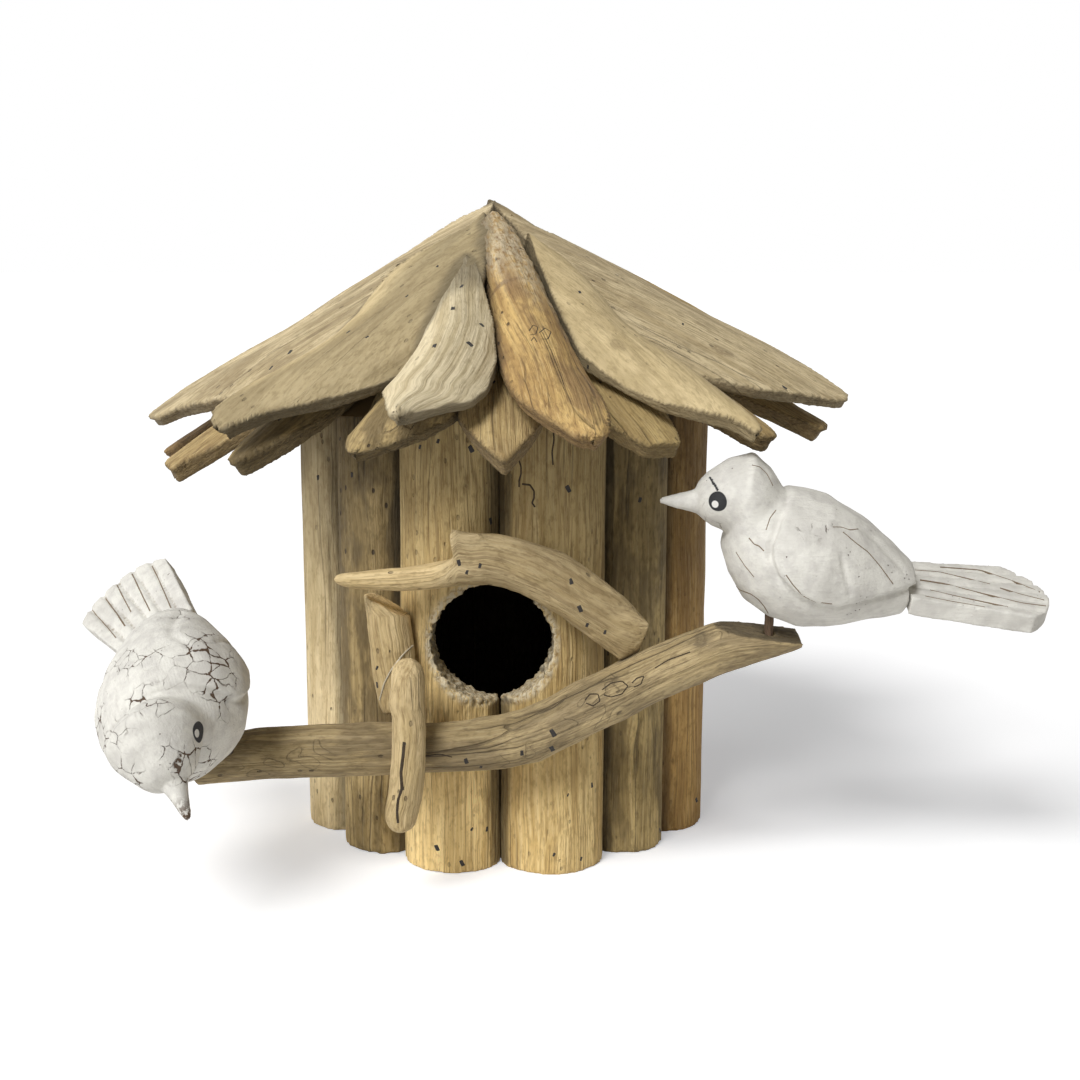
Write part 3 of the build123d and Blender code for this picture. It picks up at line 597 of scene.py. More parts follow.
class Bench:
    """Lays shader nodes in one tree. An input is a socket to link or a plain value."""

    def __init__(self, tree):
        self.tree = tree

    def feed(self, socket, value):
        if isinstance(value, bpy.types.NodeSocket):
            self.tree.links.new(value, socket)
        elif value is not None:
            socket.default_value = value

    def put(self, kind, inputs, out=0, **settings):
        node = self.tree.nodes.new("ShaderNode" + kind)
        for key, value in settings.items():
            setattr(node, key, value)
        for key, value in inputs.items():
            self.feed(node.inputs[key], value)
        return node.outputs[out]

    def math(self, operation, first, second=0.0):
        return self.put("Math", {0: first, 1: second}, operation=operation)

    def times(self, first, second):
        return self.math("MULTIPLY", first, second)

    def plus(self, first, second):
        return self.math("ADD", first, second)

    def vector(self, operation, first, second):
        out = 1 if operation in ("DISTANCE", "DOT_PRODUCT") else 0
        return self.put("VectorMath", {0: first, 1: second}, out, operation=operation)

    def scaled(self, vector, share):
        return self.put("VectorMath", {0: vector, 3: share}, operation="SCALE")

    def noise(self, vector, scale, detail, rough, out=0):
        moved = self.vector("MULTIPLY", vector, scale)
        inputs = {"Vector": moved, "Scale": 1.0, "Detail": detail, "Roughness": rough}
        return self.put("TexNoise", inputs, out)

    def cells(self, vector, feature="F1", out=0, random=1.0):
        inputs = {"Vector": vector, "Scale": 1.0, "Randomness": random}
        return self.put("TexVoronoi", inputs, out, feature=feature)

    def ramp(self, value, low, high, start=0.0, end=1.0):
        inputs = {"Value": value, "From Min": low, "From Max": high, "To Min": start, "To Max": end}
        return self.put("MapRange", inputs, interpolation_type="SMOOTHSTEP")

    def mix(self, share, first, second, blend="MIX"):
        inputs = {0: share, 6: first, 7: second}
        return self.put("Mix", inputs, 2, data_type="RGBA", blend_type=blend)

    def attribute(self, name, out):
        return self.put("Attribute", {}, out, attribute_name=name)


def new_group(name, inputs, outputs):
    """Empty shader group: its bench, its input sockets by name and the node its results go to."""
    tree = bpy.data.node_groups.new(name, "ShaderNodeTree")
    for label, kind in inputs.items():
        tree.interface.new_socket(label, in_out="INPUT", socket_type="NodeSocket" + kind)
    for label, kind in outputs.items():
        tree.interface.new_socket(label, in_out="OUTPUT", socket_type="NodeSocket" + kind)
    entry = tree.nodes.new("NodeGroupInput").outputs
    return Bench(tree), entry, tree.nodes.new("NodeGroupOutput").inputs


def driftwood_group():
    """Weathered wood along its grain: fibres, blotches, stains, checks, worm pores and sawn faces."""
    inputs = {"Grain": "Vector"}
    inputs.update(dict.fromkeys(TONE_COLOURS, "Color"))
    inputs.update(dict.fromkeys(TONE_SHARES + SKIN_MASKS, "Float"))
    outputs = {"Color": "Color", "Roughness": "Float", "Height": "Float"}
    bench, given, result = new_group("driftwood", inputs, outputs)
    grain = given["Grain"]
    wander = bench.noise(grain, (0.05, 0.05, 0.018), 2, 0.5, 1)
    wander = bench.vector("SUBTRACT", wander, (0.5, 0.5, 0.5))
    bent = bench.vector("ADD", grain, bench.vector("MULTIPLY", wander, (7.0, 7.0, 7.0)))

    fine = bench.noise(bent, (1.15, 1.15, 0.022), 2, 0.68)
    coarse = bench.noise(bent, (0.30, 0.30, 0.009), 2, 0.6)
    blotch = bench.noise(bent, (0.055, 0.055, 0.022), 3, 0.6)
    mottle = bench.noise(grain, (0.75, 0.75, 0.3), 2, 0.65)
    shifted = bench.vector("ADD", bent, (31.0, 57.0, 83.0))
    soil = bench.noise(shifted, (0.085, 0.085, 0.03), 4, 0.68)

    tone = bench.plus(bench.times(coarse, 0.55), bench.times(blotch, 0.45))
    colour = bench.mix(bench.ramp(tone, 0.40, 0.60), given["Deep"], given["Pale"])
    streak = bench.ramp(fine, 0.48, 0.66)
    streak = bench.times(streak, bench.times(given["Fibre"], 0.62))
    colour = bench.mix(streak, colour, given["Stain"])
    shine = bench.times(bench.ramp(fine, 0.46, 0.34), bench.times(given["Fibre"], 0.35))
    colour = bench.mix(shine, colour, bench.mix(0.35, given["Pale"], FIBRE_SHINE))
    speckle = bench.times(bench.ramp(mottle, 0.48, 0.70), 0.42)
    colour = bench.mix(speckle, colour, given["Stain"])
    soiled = bench.times(bench.ramp(soil, 0.45, 0.60), given["Stains"])
    colour = bench.mix(bench.times(soiled, 0.9), colour, given["Stain"])

    check_cells = bench.cells(bench.vector("MULTIPLY", bent, (0.2, 0.2, 0.0075)), "DISTANCE_TO_EDGE")
    check_place = bench.noise(shifted, (0.07, 0.07, 0.012), 2, 0.5)
    check = bench.times(bench.ramp(check_cells, 0.03, 0.008), bench.ramp(check_place, 0.52, 0.62))
    check = bench.times(check, given["Checks"])

    pore_vector = bench.vector("MULTIPLY", grain, (0.30, 0.30, 0.17))
    pore_cell = bench.cells(pore_vector)
    pore_pick = bench.put("SeparateColor", {"Color": bench.cells(pore_vector, out=1)})
    pore_place = bench.noise(shifted, (0.04, 0.04, 0.03), 2, 0.5)
    pore = bench.times(bench.ramp(pore_cell, 0.17, 0.11), bench.ramp(pore_pick, 0.55, 0.60))
    pore = bench.times(pore, bench.ramp(pore_place, 0.40, 0.52))
    pore = bench.times(pore, given["Pores"])

    rings = bench.noise(shifted, (0.13, 0.13, 0.10), 1, 0.4)
    rings = bench.math("PINGPONG", bench.times(rings, 9.0), 1.0)
    ring_place = bench.noise(grain, (0.04, 0.04, 0.035), 1, 0.4)
    ring = bench.times(bench.ramp(rings, 0.10, 0.03), bench.ramp(ring_place, 0.54, 0.58))
    ring = bench.times(ring, given["Contours"])

    uneven = bench.plus(given["Knot"], bench.times(bench.math("SUBTRACT", mottle, 0.5), 1.2))
    knot_rings = bench.math("PINGPONG", bench.times(uneven, 2.2), 0.5)
    knot_place = bench.ramp(uneven, 1.0, 0.3)
    knot = bench.times(knot_place, bench.ramp(knot_rings, 0.5, 0.1, 0.55, 0.85))
    colour = bench.mix(knot, colour, given["Stain"])

    dark = bench.math("MAXIMUM", bench.math("MAXIMUM", check, pore), bench.times(ring, 0.55))
    colour = bench.mix(bench.times(dark, 0.85), colour, HOLE_BROWN)

    saw = bench.noise(grain, (0.5, 1.6, 0.35), 2, 0.7)
    raw = bench.mix(bench.ramp(saw, 0.35, 0.65), given["Stain"], given["Pale"])
    raw = bench.mix(0.45, raw, given["Deep"])
    raw = bench.mix(0.40, raw, given["Stain"])
    colour = bench.mix(given["Sawn"], colour, raw)
    fuzz = bench.times(given["Fuzz"], bench.ramp(saw, 0.30, 0.62))
    colour = bench.mix(fuzz, colour, RAW_FIBRE)
    # darker, towards the stain colour, in the skin's hollows
    hollow_darkening = bench.ramp(given["Hollow"], 0.02, 0.12)
    colour = bench.mix(bench.times(hollow_darkening, 0.5), colour, given["Stain"])
    # painted shade in seams, on the staves' inner faces and at their edges, and a darker cut face on the
    # perch
    colour = bench.mix(bench.times(given["Soot"], 0.93), colour, SHADE_AND_DARKENING_BLACK)

    relief = bench.times(bench.times(fine, given["Fibre"]), 0.7)
    relief = bench.plus(relief, bench.times(coarse, 0.35))
    relief = bench.plus(relief, bench.times(mottle, 0.30))
    relief = bench.plus(relief, bench.times(bench.times(saw, given["Sawn"]), 0.8))
    relief = bench.math("SUBTRACT", relief, bench.times(dark, 0.9))
    # each piece's tint, together with the painted shade and painted highlights that it carries
    share = bench.plus(given["Fade"], 1.0)
    bench.feed(result["Color"], bench.scaled(colour, share))
    bench.feed(result["Roughness"], bench.ramp(mottle, 0.3, 0.7, 0.72, 0.9))
    bench.feed(result["Height"], relief)
    return bench.tree


def crackle_group():
    """Off-white paint over carved wood: crackle, brown hollows, specks and thin brush marks."""
    inputs = {"Place": "Vector", "Paint": "Color", "Ground": "Color"}
    inputs.update(dict.fromkeys(("Crackle", "Hollow", "Soil", "Worn"), "Float"))
    outputs = {"Color": "Color", "Roughness": "Float", "Height": "Float"}
    bench, given, result = new_group("crackled_paint", inputs, outputs)
    place = given["Place"]
    drift = bench.noise(place, (0.16, 0.16, 0.16), 2, 0.5, 1)
    drift = bench.vector("MULTIPLY", bench.vector("SUBTRACT", drift, (0.5, 0.5, 0.5)), (4.0, 4.0, 4.0))
    moved = bench.vector("MULTIPLY", bench.vector("ADD", place, drift), (0.185, 0.185, 0.185))
    edge = bench.cells(moved, "DISTANCE_TO_EDGE", random=0.9)
    middle = bench.cells(moved, random=0.9)
    height = bench.put("SeparateXYZ", {0: place}, 2)
    region = bench.noise(place, (0.06, 0.06, 0.06), 2, 0.5)
    region = bench.plus(region, bench.times(given["Crackle"], 0.25))
    region = bench.plus(region, bench.ramp(height, -6.0, 16.0, -0.16, 0.0))
    strength = bench.ramp(region, 0.50, 0.70)
    near_corner = bench.ramp(middle, 0.50, 0.74)
    ragged = bench.noise(place, (0.9, 0.9, 0.9), 3, 0.6)
    width = bench.times(near_corner, bench.times(strength, 0.075))
    width = bench.times(width, bench.ramp(ragged, 0.35, 0.6, 0.2, 1.0))
    crack = bench.math("SUBTRACT", width, edge)
    crack = bench.ramp(crack, 0.0, 0.012)
    hair = bench.ramp(edge, 0.030, 0.012, 0.0, 0.75)
    hair = bench.times(hair, bench.ramp(region, 0.50, 0.62))
    hair = bench.times(hair, bench.ramp(ragged, 0.36, 0.55, 0.25, 1.0))

    mottle = bench.noise(place, (0.22, 0.22, 0.22), 4, 0.6)
    brush = bench.noise(place, (0.12, 1.4, 1.4), 3, 0.6)
    colour = bench.mix(bench.ramp(mottle, 0.40, 0.68, 0.0, 0.75), given["Paint"], PAINT_GREY)
    colour = bench.mix(bench.ramp(brush, 0.5, 0.75, 0.0, 0.35), colour, BRUSH_GREY)
    patch = bench.noise(place, (0.075, 0.075, 0.075), 3, 0.6)
    colour = bench.mix(bench.ramp(patch, 0.48, 0.60, 0.0, 0.45), colour, PATCH_GREY)
    soil = bench.ramp(bench.times(given["Hollow"], given["Soil"]), 0.020, 0.09)
    soil = bench.times(soil, bench.ramp(ragged, 0.38, 0.58, 0.15, 0.85))
    colour = bench.mix(soil, colour, PAINT_SOIL)
    tip = bench.ramp(bench.put("SeparateXYZ", {0: place}, 0), 39.0, 46.0)
    tip = bench.times(bench.times(tip, given["Worn"]), bench.ramp(ragged, 0.42, 0.56))
    colour = bench.mix(tip, colour, given["Ground"])
    speck_cell = bench.cells(bench.vector("MULTIPLY", place, (0.55, 0.55, 0.55)))
    speck_place = bench.noise(place, (0.11, 0.11, 0.11), 2, 0.5)
    speck = bench.times(bench.ramp(speck_cell, 0.15, 0.09), bench.ramp(speck_place, 0.55, 0.66))
    mark = bench.math("MAXIMUM", bench.math("MAXIMUM", crack, hair), bench.times(speck, 0.8))
    colour = bench.mix(mark, colour, given["Ground"])

    grit = bench.noise(place, (1.3, 1.3, 1.3), 4, 0.7)
    relief = bench.plus(bench.times(mottle, 0.6), bench.times(brush, 0.3))
    relief = bench.plus(relief, bench.times(grit, 0.35))
    relief = bench.math("SUBTRACT", relief, bench.times(mark, 0.8))
    bench.feed(result["Color"], colour)
    bench.feed(result["Roughness"], bench.ramp(mottle, 0.3, 0.7, 0.6, 0.78))
    bench.feed(result["Height"], relief)
    return bench.tree


def eye_group():
    """Masks of the painted eyes, the same on both sides of a head, and of a smear over one of them."""
    inputs = {"Place": "Vector", "Eye": "Vector", "Dot": "Vector"}
    outputs = {"Black": "Float", "White": "Float", "Smear": "Float"}
    bench, given, result = new_group("painted_eyes", inputs, outputs)
    parts = bench.put("SeparateXYZ", {0: given["Place"]}).node.outputs
    mirrored = bench.put("CombineXYZ", {0: parts[0], 1: bench.math("ABSOLUTE", parts[1]), 2: parts[2]})
    away = bench.vector("DISTANCE", mirrored, given["Eye"])
    dot = bench.vector("DISTANCE", mirrored, given["Dot"])
    start, end = (Vector(point) for point in SMEAR_ENDS)
    run = end - start
    flat = bench.put("CombineXYZ", {0: parts[0], 1: parts[2]})
    from_start = bench.vector("SUBTRACT", flat, (*start, 0.0))
    share = bench.vector("DOT_PRODUCT", from_start, (*(run / run.length_squared), 0.0))
    share = bench.put("Clamp", {"Value": share})
    nearest = bench.scaled((*run, 0.0), share)
    smear_away = bench.vector("DISTANCE", from_start, nearest)
    broken = bench.noise(given["Place"], (2.2, 2.2, 2.2), 2, 0.6)
    smear_away = bench.plus(smear_away, bench.times(broken, SMEAR_BREAKS))
    smear = bench.ramp(smear_away, SMEAR_RADIUS + 0.65, SMEAR_RADIUS + 0.45)
    bench.feed(result["Black"], bench.ramp(away, EYE_RADIUS + EYE_BLUR, EYE_RADIUS - EYE_BLUR))
    bench.feed(result["White"], bench.ramp(dot, EYE_DOT_RADIUS + EYE_BLUR, EYE_DOT_RADIUS - EYE_BLUR))
    bench.feed(result["Smear"], bench.times(smear, bench.ramp(parts[1], 0.0, 1.0)))
    return bench.tree


def shaded(name):
    """New material: its bench and its shader."""
    material = bpy.data.materials.new(name)
    material.use_nodes = True
    return material, Bench(material.node_tree), material.node_tree.nodes["Principled BSDF"]


def place_group(bench, tree, inputs):
    """Place a shared group in a material and feed its inputs."""
    group = bench.tree.nodes.new("ShaderNodeGroup")
    group.node_tree = tree
    for key, value in inputs.items():
        bench.feed(group.inputs[key], value)
    return group.outputs


def bump(bench, shader, height, depth):
    """Send a height to a shader's normal, as relief of a depth in millimetres."""
    inputs = {"Strength": 1.0, "Distance": depth * MM, "Height": height}
    bench.feed(shader.inputs["Normal"], bench.put("Bump", inputs))


def wood_material(tone):
    """Driftwood of one tone."""
    material, bench, shader = shaded(tone + "_driftwood")
    colours, shares = TONES[tone][:len(TONE_COLOURS)], TONES[tone][len(TONE_COLOURS):]
    inputs = {label: (*colour, 1.0) for label, colour in zip(TONE_COLOURS, colours)}
    inputs.update(zip(TONE_SHARES, shares))
    inputs.update((label, bench.attribute(label.lower(), 2)) for label in SKIN_MASKS)
    inputs["Grain"] = bench.attribute("grain", 1)
    made = place_group(bench, driftwood, inputs)
    bench.feed(shader.inputs["Base Color"], made["Color"])
    bench.feed(shader.inputs["Roughness"], made["Roughness"])
    bump(bench, shader, made["Height"], WOOD_BUMP)
    return material


def bird_material(name, crackle, smeared, soil, eye, dot):
    """Crackled paint of one bird, with its painted eyes."""
    material, bench, shader = shaded(name)
    place = bench.attribute("place", 1)
    made = place_group(bench, crackled_paint, {
        "Place": place,
        "Crackle": crackle,
        "Soil": soil,
        "Worn": 1.0 - smeared,
        "Hollow": bench.attribute("hollow", 2),
        "Paint": PAINT_WHITE,
        "Ground": BARE_GROUND,
    })
    eyes = place_group(bench, painted_eyes, {"Place": place, "Eye": eye, "Dot": dot})
    black = bench.math("MAXIMUM", eyes["Black"], bench.times(eyes["Smear"], smeared))
    colour = bench.mix(black, made["Color"], EYE_BLACK)
    colour = bench.mix(eyes["White"], colour, EYE_WHITE)
    bench.feed(shader.inputs["Base Color"], colour)
    bench.feed(shader.inputs["Roughness"], made["Roughness"])
    bump(bench, shader, made["Height"], PAINT_BUMP)
    return material


driftwood = driftwood_group()
crackled_paint = crackle_group()
painted_eyes = eye_group()
woods = {tone: wood_material(tone) for tone in TONES}

# Textures that the skins are roughened by
swell = bpy.data.textures.new("swell", "CLOUDS")
swell.noise_scale = 1.0
swell.noise_depth = 1
ripple = bpy.data.textures.new("ripple", "CLOUDS")
ripple.noise_scale = 1.0
ripple.noise_depth = 3
knife = bpy.data.textures.new("knife", "VORONOI")
knife.noise_scale = 1.0
skins = {}


def wood_attributes(piece, node, grain, seed, **masks):
    """Keep grain, knots, hollows and other masks on a skin. Its seed shifts its pattern off the others'."""
    knot = np.full(len(grain), KNOT_END)
    points = read(piece, "co")
    for x, y, across, along in KNOTS.get(node, ()):
        middle = on_skin(piece, (x, y))
        if middle:
            at = grain[np.linalg.norm(points - np.array(middle[0]), axis=1).argmin()]
            reach = np.hypot((grain[:, 0] - at[0]) / across, (grain[:, 2] - at[2]) / along)
            knot = np.minimum(knot, np.where(np.abs(grain[:, 1] - at[1]) < KNOT_DEPTH, reach, KNOT_END))
    masks.update(knot=knot, hollow=hollows(piece))
    store(piece, "grain", grain + seed * np.array(SEED_SHIFT))
    for label in SKIN_MASKS:
        store(piece, label.lower(), masks.get(label.lower(), np.zeros(len(grain))))
    skins[node] = piece


def make_stave(node, seed):
    """Weathered half-round stave."""
    front = node.startswith("front")
    piece = skin_of(node, FINE_STAVE_VOXEL if front else STAVE_VOXEL, 2)
    points = read(piece, "co")
    out = Vector((points[:, 0].mean(), points[:, 1].mean(), 0)).normalized()
    along = Vector((0, 0, 1))
    middle = axes_matrix(points.mean(0), along.cross(out), out, along)
    spread = FRONT_STAVE_SPREAD if front else STAVE_SPREAD
    piece.data.transform(middle @ Matrix.Diagonal((spread, 1, 1, 1)) @ middle.inverted())
    axes = axes_matrix((0, 0, seed * 0.7), along.cross(out), out, along)
    roughen(piece, swell, STAVE_SWELL, axes)
    roughen(piece, ripple, STAVE_RIPPLE, axes)
    points, normals = read(piece, "co"), read(piece, "normal")
    ends, back = np.abs(normals[:, 2]), -(normals @ np.array(out))
    masks = {"sawn": np.maximum(step(ends, 0.55, 0.8), step(back, 0.5, 0.8))}
    if front:
        flat = points[:, [0, 2]] / MM - np.array(ENTRANCE_CENTRE)
        beyond = np.hypot(*flat.T) - ENTRANCE_RADIUS
        roughen(piece, ripple, RIM_FIBRES, axes, step(beyond, *RIM_REACH))
        points, normals = read(piece, "co"), read(piece, "normal")
        masks["fuzz"] = step(beyond, *RIM_FUZZ_REACH)
    edges, back = np.abs(normals @ np.array(along.cross(out))), -(normals @ np.array(out))
    # painted shade on the staves' inner faces and in the grooves at their edges
    masks["soot"] = np.maximum(step(back, 0.5, 0.85), STAVE_EDGE_SHADE * step(edges, 0.82, 0.97))
    # painted shade under the eaves and painted light at the foot of each stave
    masks["fade"] = np.interp(points[:, 2] / MM, STAVE_SHADE_HEIGHTS, STAVE_SHADES)
    wood_attributes(piece, node, straight_grain(points, axes), seed, **masks)
    tone = STAVE_TONES.get(node, SPARE_STAVE_TONES[seed % len(SPARE_STAVE_TONES)])
    dress(piece, node, woods[tone])


def petal_axes(points):
    """Grain frame of a petal, from the spread of its points: along its length and out of its top."""
    centre = points.mean(0)
    _, vectors = np.linalg.eigh(np.cov((points - centre).T))
    along, out = Vector(vectors[:, 2]), Vector(vectors[:, 0])
    along = along if along.z < 0 else -along
    out = out if out.z > 0 else -out
    return axes_matrix(centre, along.cross(out), out, along)


def outline_spans(axes, pixels, rise):
    """Ends of an outline along a petal, and its two edges at even steps between them, in millimetres."""
    out, eye = axes.col[1].xyz, Vector(CAMERA_PLACE)
    level = axes.translation + out * (rise * MM)
    rays = [pixel_ray(pixel) for pixel in pixels]
    seen = [eye + ray * ((level - eye).dot(out) / ray.dot(out)) for ray in rays]
    flat = straight_grain(np.array(seen), axes)[:, [2, 0]]
    ends = flat[:, 0].min(), flat[:, 0].max()
    edges = []
    for place in np.linspace(ends[0] + TIP_MARGIN, ends[1] - TIP_MARGIN, OUTLINE_BINS):
        crossings = []
        for (z0, x0), (z1, x1) in zip(flat, np.roll(flat, -1, 0)):
            if (z0 > place) != (z1 > place):
                crossings.append(x0 + (x1 - x0) * (place - z0) / (z1 - z0))
        edges.append((min(crossings), max(crossings)))
    return ends, np.array(edges)


def follow_outline(piece, axes, node, rise):
    """Stretch a petal's skin along and across to its outline. Returns its grain as it was before."""
    grain = straight_grain(read(piece, "co"), axes)
    ends, edges = outline_spans(axes, PETAL_OUTLINES[node], rise)
    share = (grain[:, 2] - grain[:, 2].min()) / np.ptp(grain[:, 2])
    bins = np.clip((share * OUTLINE_BINS).astype(int), 0, OUTLINE_BINS - 1)
    middles = (np.arange(OUTLINE_BINS) + 0.5) / OUTLINE_BINS
    spans = [(grain[bins == i, 0].min(), grain[bins == i, 0].max()) for i in range(OUTLINE_BINS)]
    low, high = (np.interp(share, middles, column) for column in np.array(spans).T)
    left, right = (np.interp(share, np.linspace(0, 1, OUTLINE_BINS), column) for column in edges.T)
    if HIDDEN_EDGES.get(node) == "clockwise":
        left = np.minimum(left, low)
    elif node in HIDDEN_EDGES:
        right = np.maximum(right, high)
    moved = grain.copy()
    moved[:, 0] = left + (right - left) * (grain[:, 0] - low) / np.maximum(high - low, 1.0)
    moved[:, 1] *= 1 - TIP_THINNING * step(share, TIP_START, 1.0)
    moved[:, 2] = ends[0] + share * (ends[1] - ends[0])
    matrix = np.array(axes)
    points = moved * MM @ matrix[:3, :3].T + matrix[:3, 3]
    move(piece, points)
    return grain


def make_petal(node, seed):
    """Roof petal with a rounded weathered top and sawn edges."""
    low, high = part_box(node)
    seen = (low.y + high.y) / 2 < 0
    piece = skin_of(node, FINE_PETAL_VOXEL if seen else PETAL_VOXEL, 2)
    axes = petal_axes(read(piece, "co"))
    lift, roll, crown, ridge, fade, rise = PETAL_SHAPES.get(node, SPARE_PETAL_SHAPE)
    turn = Matrix.Translation((0, lift * MM, 0)) @ Matrix.Rotation(radians(roll), 4, "Z")
    piece.data.transform(axes @ turn @ axes.inverted())
    axes = axes @ turn
    bent = straight_grain(read(piece, "co"), axes)
    if node in PETAL_OUTLINES:
        bent = follow_outline(piece, axes, node, rise)
    facing = read(piece, "normal") @ np.array(axes.col[1].xyz)
    half, low_end = np.abs(bent[:, 0]).max(), bent[:, 2].min()
    across = bent[:, 0] / half
    across = (across - ridge) / np.where(across > ridge, 1 - ridge, 1 + ridge)
    rounded = np.clip(1 - across ** 2, 0, 1) * step(bent[:, 2], low_end, low_end + CROWN_RUN)
    press(piece, step(facing, 0.2, 0.7) * rounded, crown)
    away = axes @ Matrix.Translation((0, 0, seed * 0.9))
    roughen(piece, swell, PETAL_SWELL, away)
    roughen(piece, ripple, PETAL_RIPPLE, away)
    masks = {}
    if node in BARKED:
        share = (bent[:, 2] - low_end) / np.ptp(bent[:, 2])
        ragged = share + BARK_WAVE * np.sin(bent[:, 0] * BARK_WAVES) + BARK_SLANT * bent[:, 0]
        bark = step(ragged, *BARKED[node]) * step(facing, 0.0, 0.4)
        roughen(piece, ripple, BARK_RELIEF, away, bark)
        masks["fuzz"] = BARK_FUZZ * bark
    points, normals = read(piece, "co"), read(piece, "normal")
    sawn = step(-(normals @ np.array(axes.col[1].xyz)), -0.5, -0.3)
    grain = bent if node in BENT_GRAIN else straight_grain(points, axes)
    beyond = step(bent[:, 0] / half, ridge - HIGHLIGHT_START, ridge + HIGHLIGHT_END)
    # painted highlight beyond the ridge and painted shade on the sawn edges, on top of the petal's tint
    fade = fade + RIDGE_HIGHLIGHT * max(ridge, 0.0) * beyond - SAWN_SHADE * sawn
    wood_attributes(piece, node, grain, seed, sawn=sawn, fade=fade, **masks)
    tone = PETAL_TONES.get(node, SPARE_PETAL_TONES[seed % len(SPARE_PETAL_TONES)])
    dress(piece, node, woods[tone])


def pull(piece, start, end, reach):
    """Draw a skin out to a point: from where one pixel lies on it to where another one lies beside it."""
    hit = on_skin(piece, start)
    if hit:
        eye, ray = Vector(CAMERA_PLACE), pixel_ray(end)
        target = eye + ray * ((hit[0] - eye).dot(ray))
        points = read(piece, "co")
        away = np.linalg.norm(points - np.array(hit[0]), axis=1) / MM
        weights = np.clip(1 - away / reach, 0, 1) ** 1.5
        points += weights[:, None] * np.array(target - hit[0])
        move(piece, points)


def make_limb(node, voxel, main, bins, tone, seed):
    """Branch, stub or twig with its grain along its bent spine."""
    piece = skin_of(node, voxel, 3)
    axes = Matrix.Translation((seed * 0.3, 0, 0))
    for texture, (rise, across, along) in ((swell, LIMB_SWELL), (ripple, LIMB_RIPPLE)):
        size = [along if axis == main else across for axis in range(3)]
        roughen(piece, texture, (rise, size), axes)
    for start, end, reach in LIMB_PULLS.get(node, ()):
        pull(piece, start, end, reach)
    masks = {}
    if node == "perch_branch":
        points = read(piece, "co")
        points[:, 0] -= MM * PERCH_REACH * step(points[:, 0] / MM, *PERCH_STRETCH)
        move(piece, points)
        # the perch's cut face is made darker
        cut = step(read(piece, "normal") @ np.array(Vector(PERCH_CUT).normalized()), 0.80, 0.93)
        masks["soot"] = PERCH_CUT_DARKENING * cut * step(read(piece, "co")[:, 0] / MM, *PERCH_CUT_START)
    points = read(piece, "co")
    if node == "brow_branch":
        masks["fade"] = BROW_FADE + SPUR_FADE * step(points[:, 0] / MM, *SPUR_START)
    if node == "jamb_stub":
        # the stub is made paler on its upward faces
        masks["fade"] = JAMB_TOP_PALING * step(read(piece, "normal")[:, 2], 0.6, 0.8)
    wood_attributes(piece, node, spine_grain(points, main, bins), seed, **masks)
    dress(piece, node, woods[tone])


def shade_seams(nodes, reach, strength):
    """Paint shade on skins wherever another one of them comes close, as in the shadow of its neighbour."""
    graph = bpy.context.evaluated_depsgraph_get()
    trees = {node: BVHTree.FromObject(skins[node], graph) for node in nodes}
    boxes = {node: (read(skins[node], "co").min(0), read(skins[node], "co").max(0)) for node in nodes}
    for node in nodes:
        points = read(skins[node], "co")
        nearest = np.full(len(points), reach)
        for other in nodes:
            low, high = boxes[other]
            close = np.all((points > low - reach * MM) & (points < high + reach * MM), axis=1)
            for index in np.nonzero(close)[0] if other != node else ():
                away = trees[other].find_nearest(points[index], reach * MM)[3]
                if away is not None:
                    nearest[index] = min(nearest[index], away / MM)
        soot = np.zeros(len(points), np.float32)
        values = skins[node].data.attributes["soot"].data
        values.foreach_get("value", soot)
        soot = np.maximum(soot, strength * step(nearest, reach, 0.2))
        values.foreach_set("value", soot.astype(np.float32))


def bird_place(points, side):
    """Forward, left and up coordinates of points in a bird's own frame, in millimetres."""
    centre, forward, up = (Vector(row) for row in BIRD_FRAMES[side])
    forward, up = forward.normalized(), up.normalized()
    turned = np.array((forward, up.cross(forward), up))
    return (points / MM - np.array(centre)) @ turned.T


def polyline_distance(flat, line):
    """Distance of flat points from a line through given points."""
    nearest = np.full(len(flat), np.inf)
    for start, end in zip(line, line[1:]):
        run = np.subtract(end, start)
        share = np.clip((flat - start) @ run / (run @ run), 0, 1)
        nearest = np.minimum(nearest, np.linalg.norm(flat - start - share[:, None] * run, axis=1))
    return nearest


def inside(flat, outline):
    """Which flat points lie inside a closed outline."""
    found = np.zeros(len(flat), bool)
    for (x0, y0), (x1, y1) in zip(outline, outline[1:] + outline[:1]):
        crosses = (y0 > flat[:, 1]) != (y1 > flat[:, 1])
        if y0 != y1:
            found ^= crosses & (flat[:, 0] < (x1 - x0) * (flat[:, 1] - y0) / (y1 - y0) + x0)
    return found


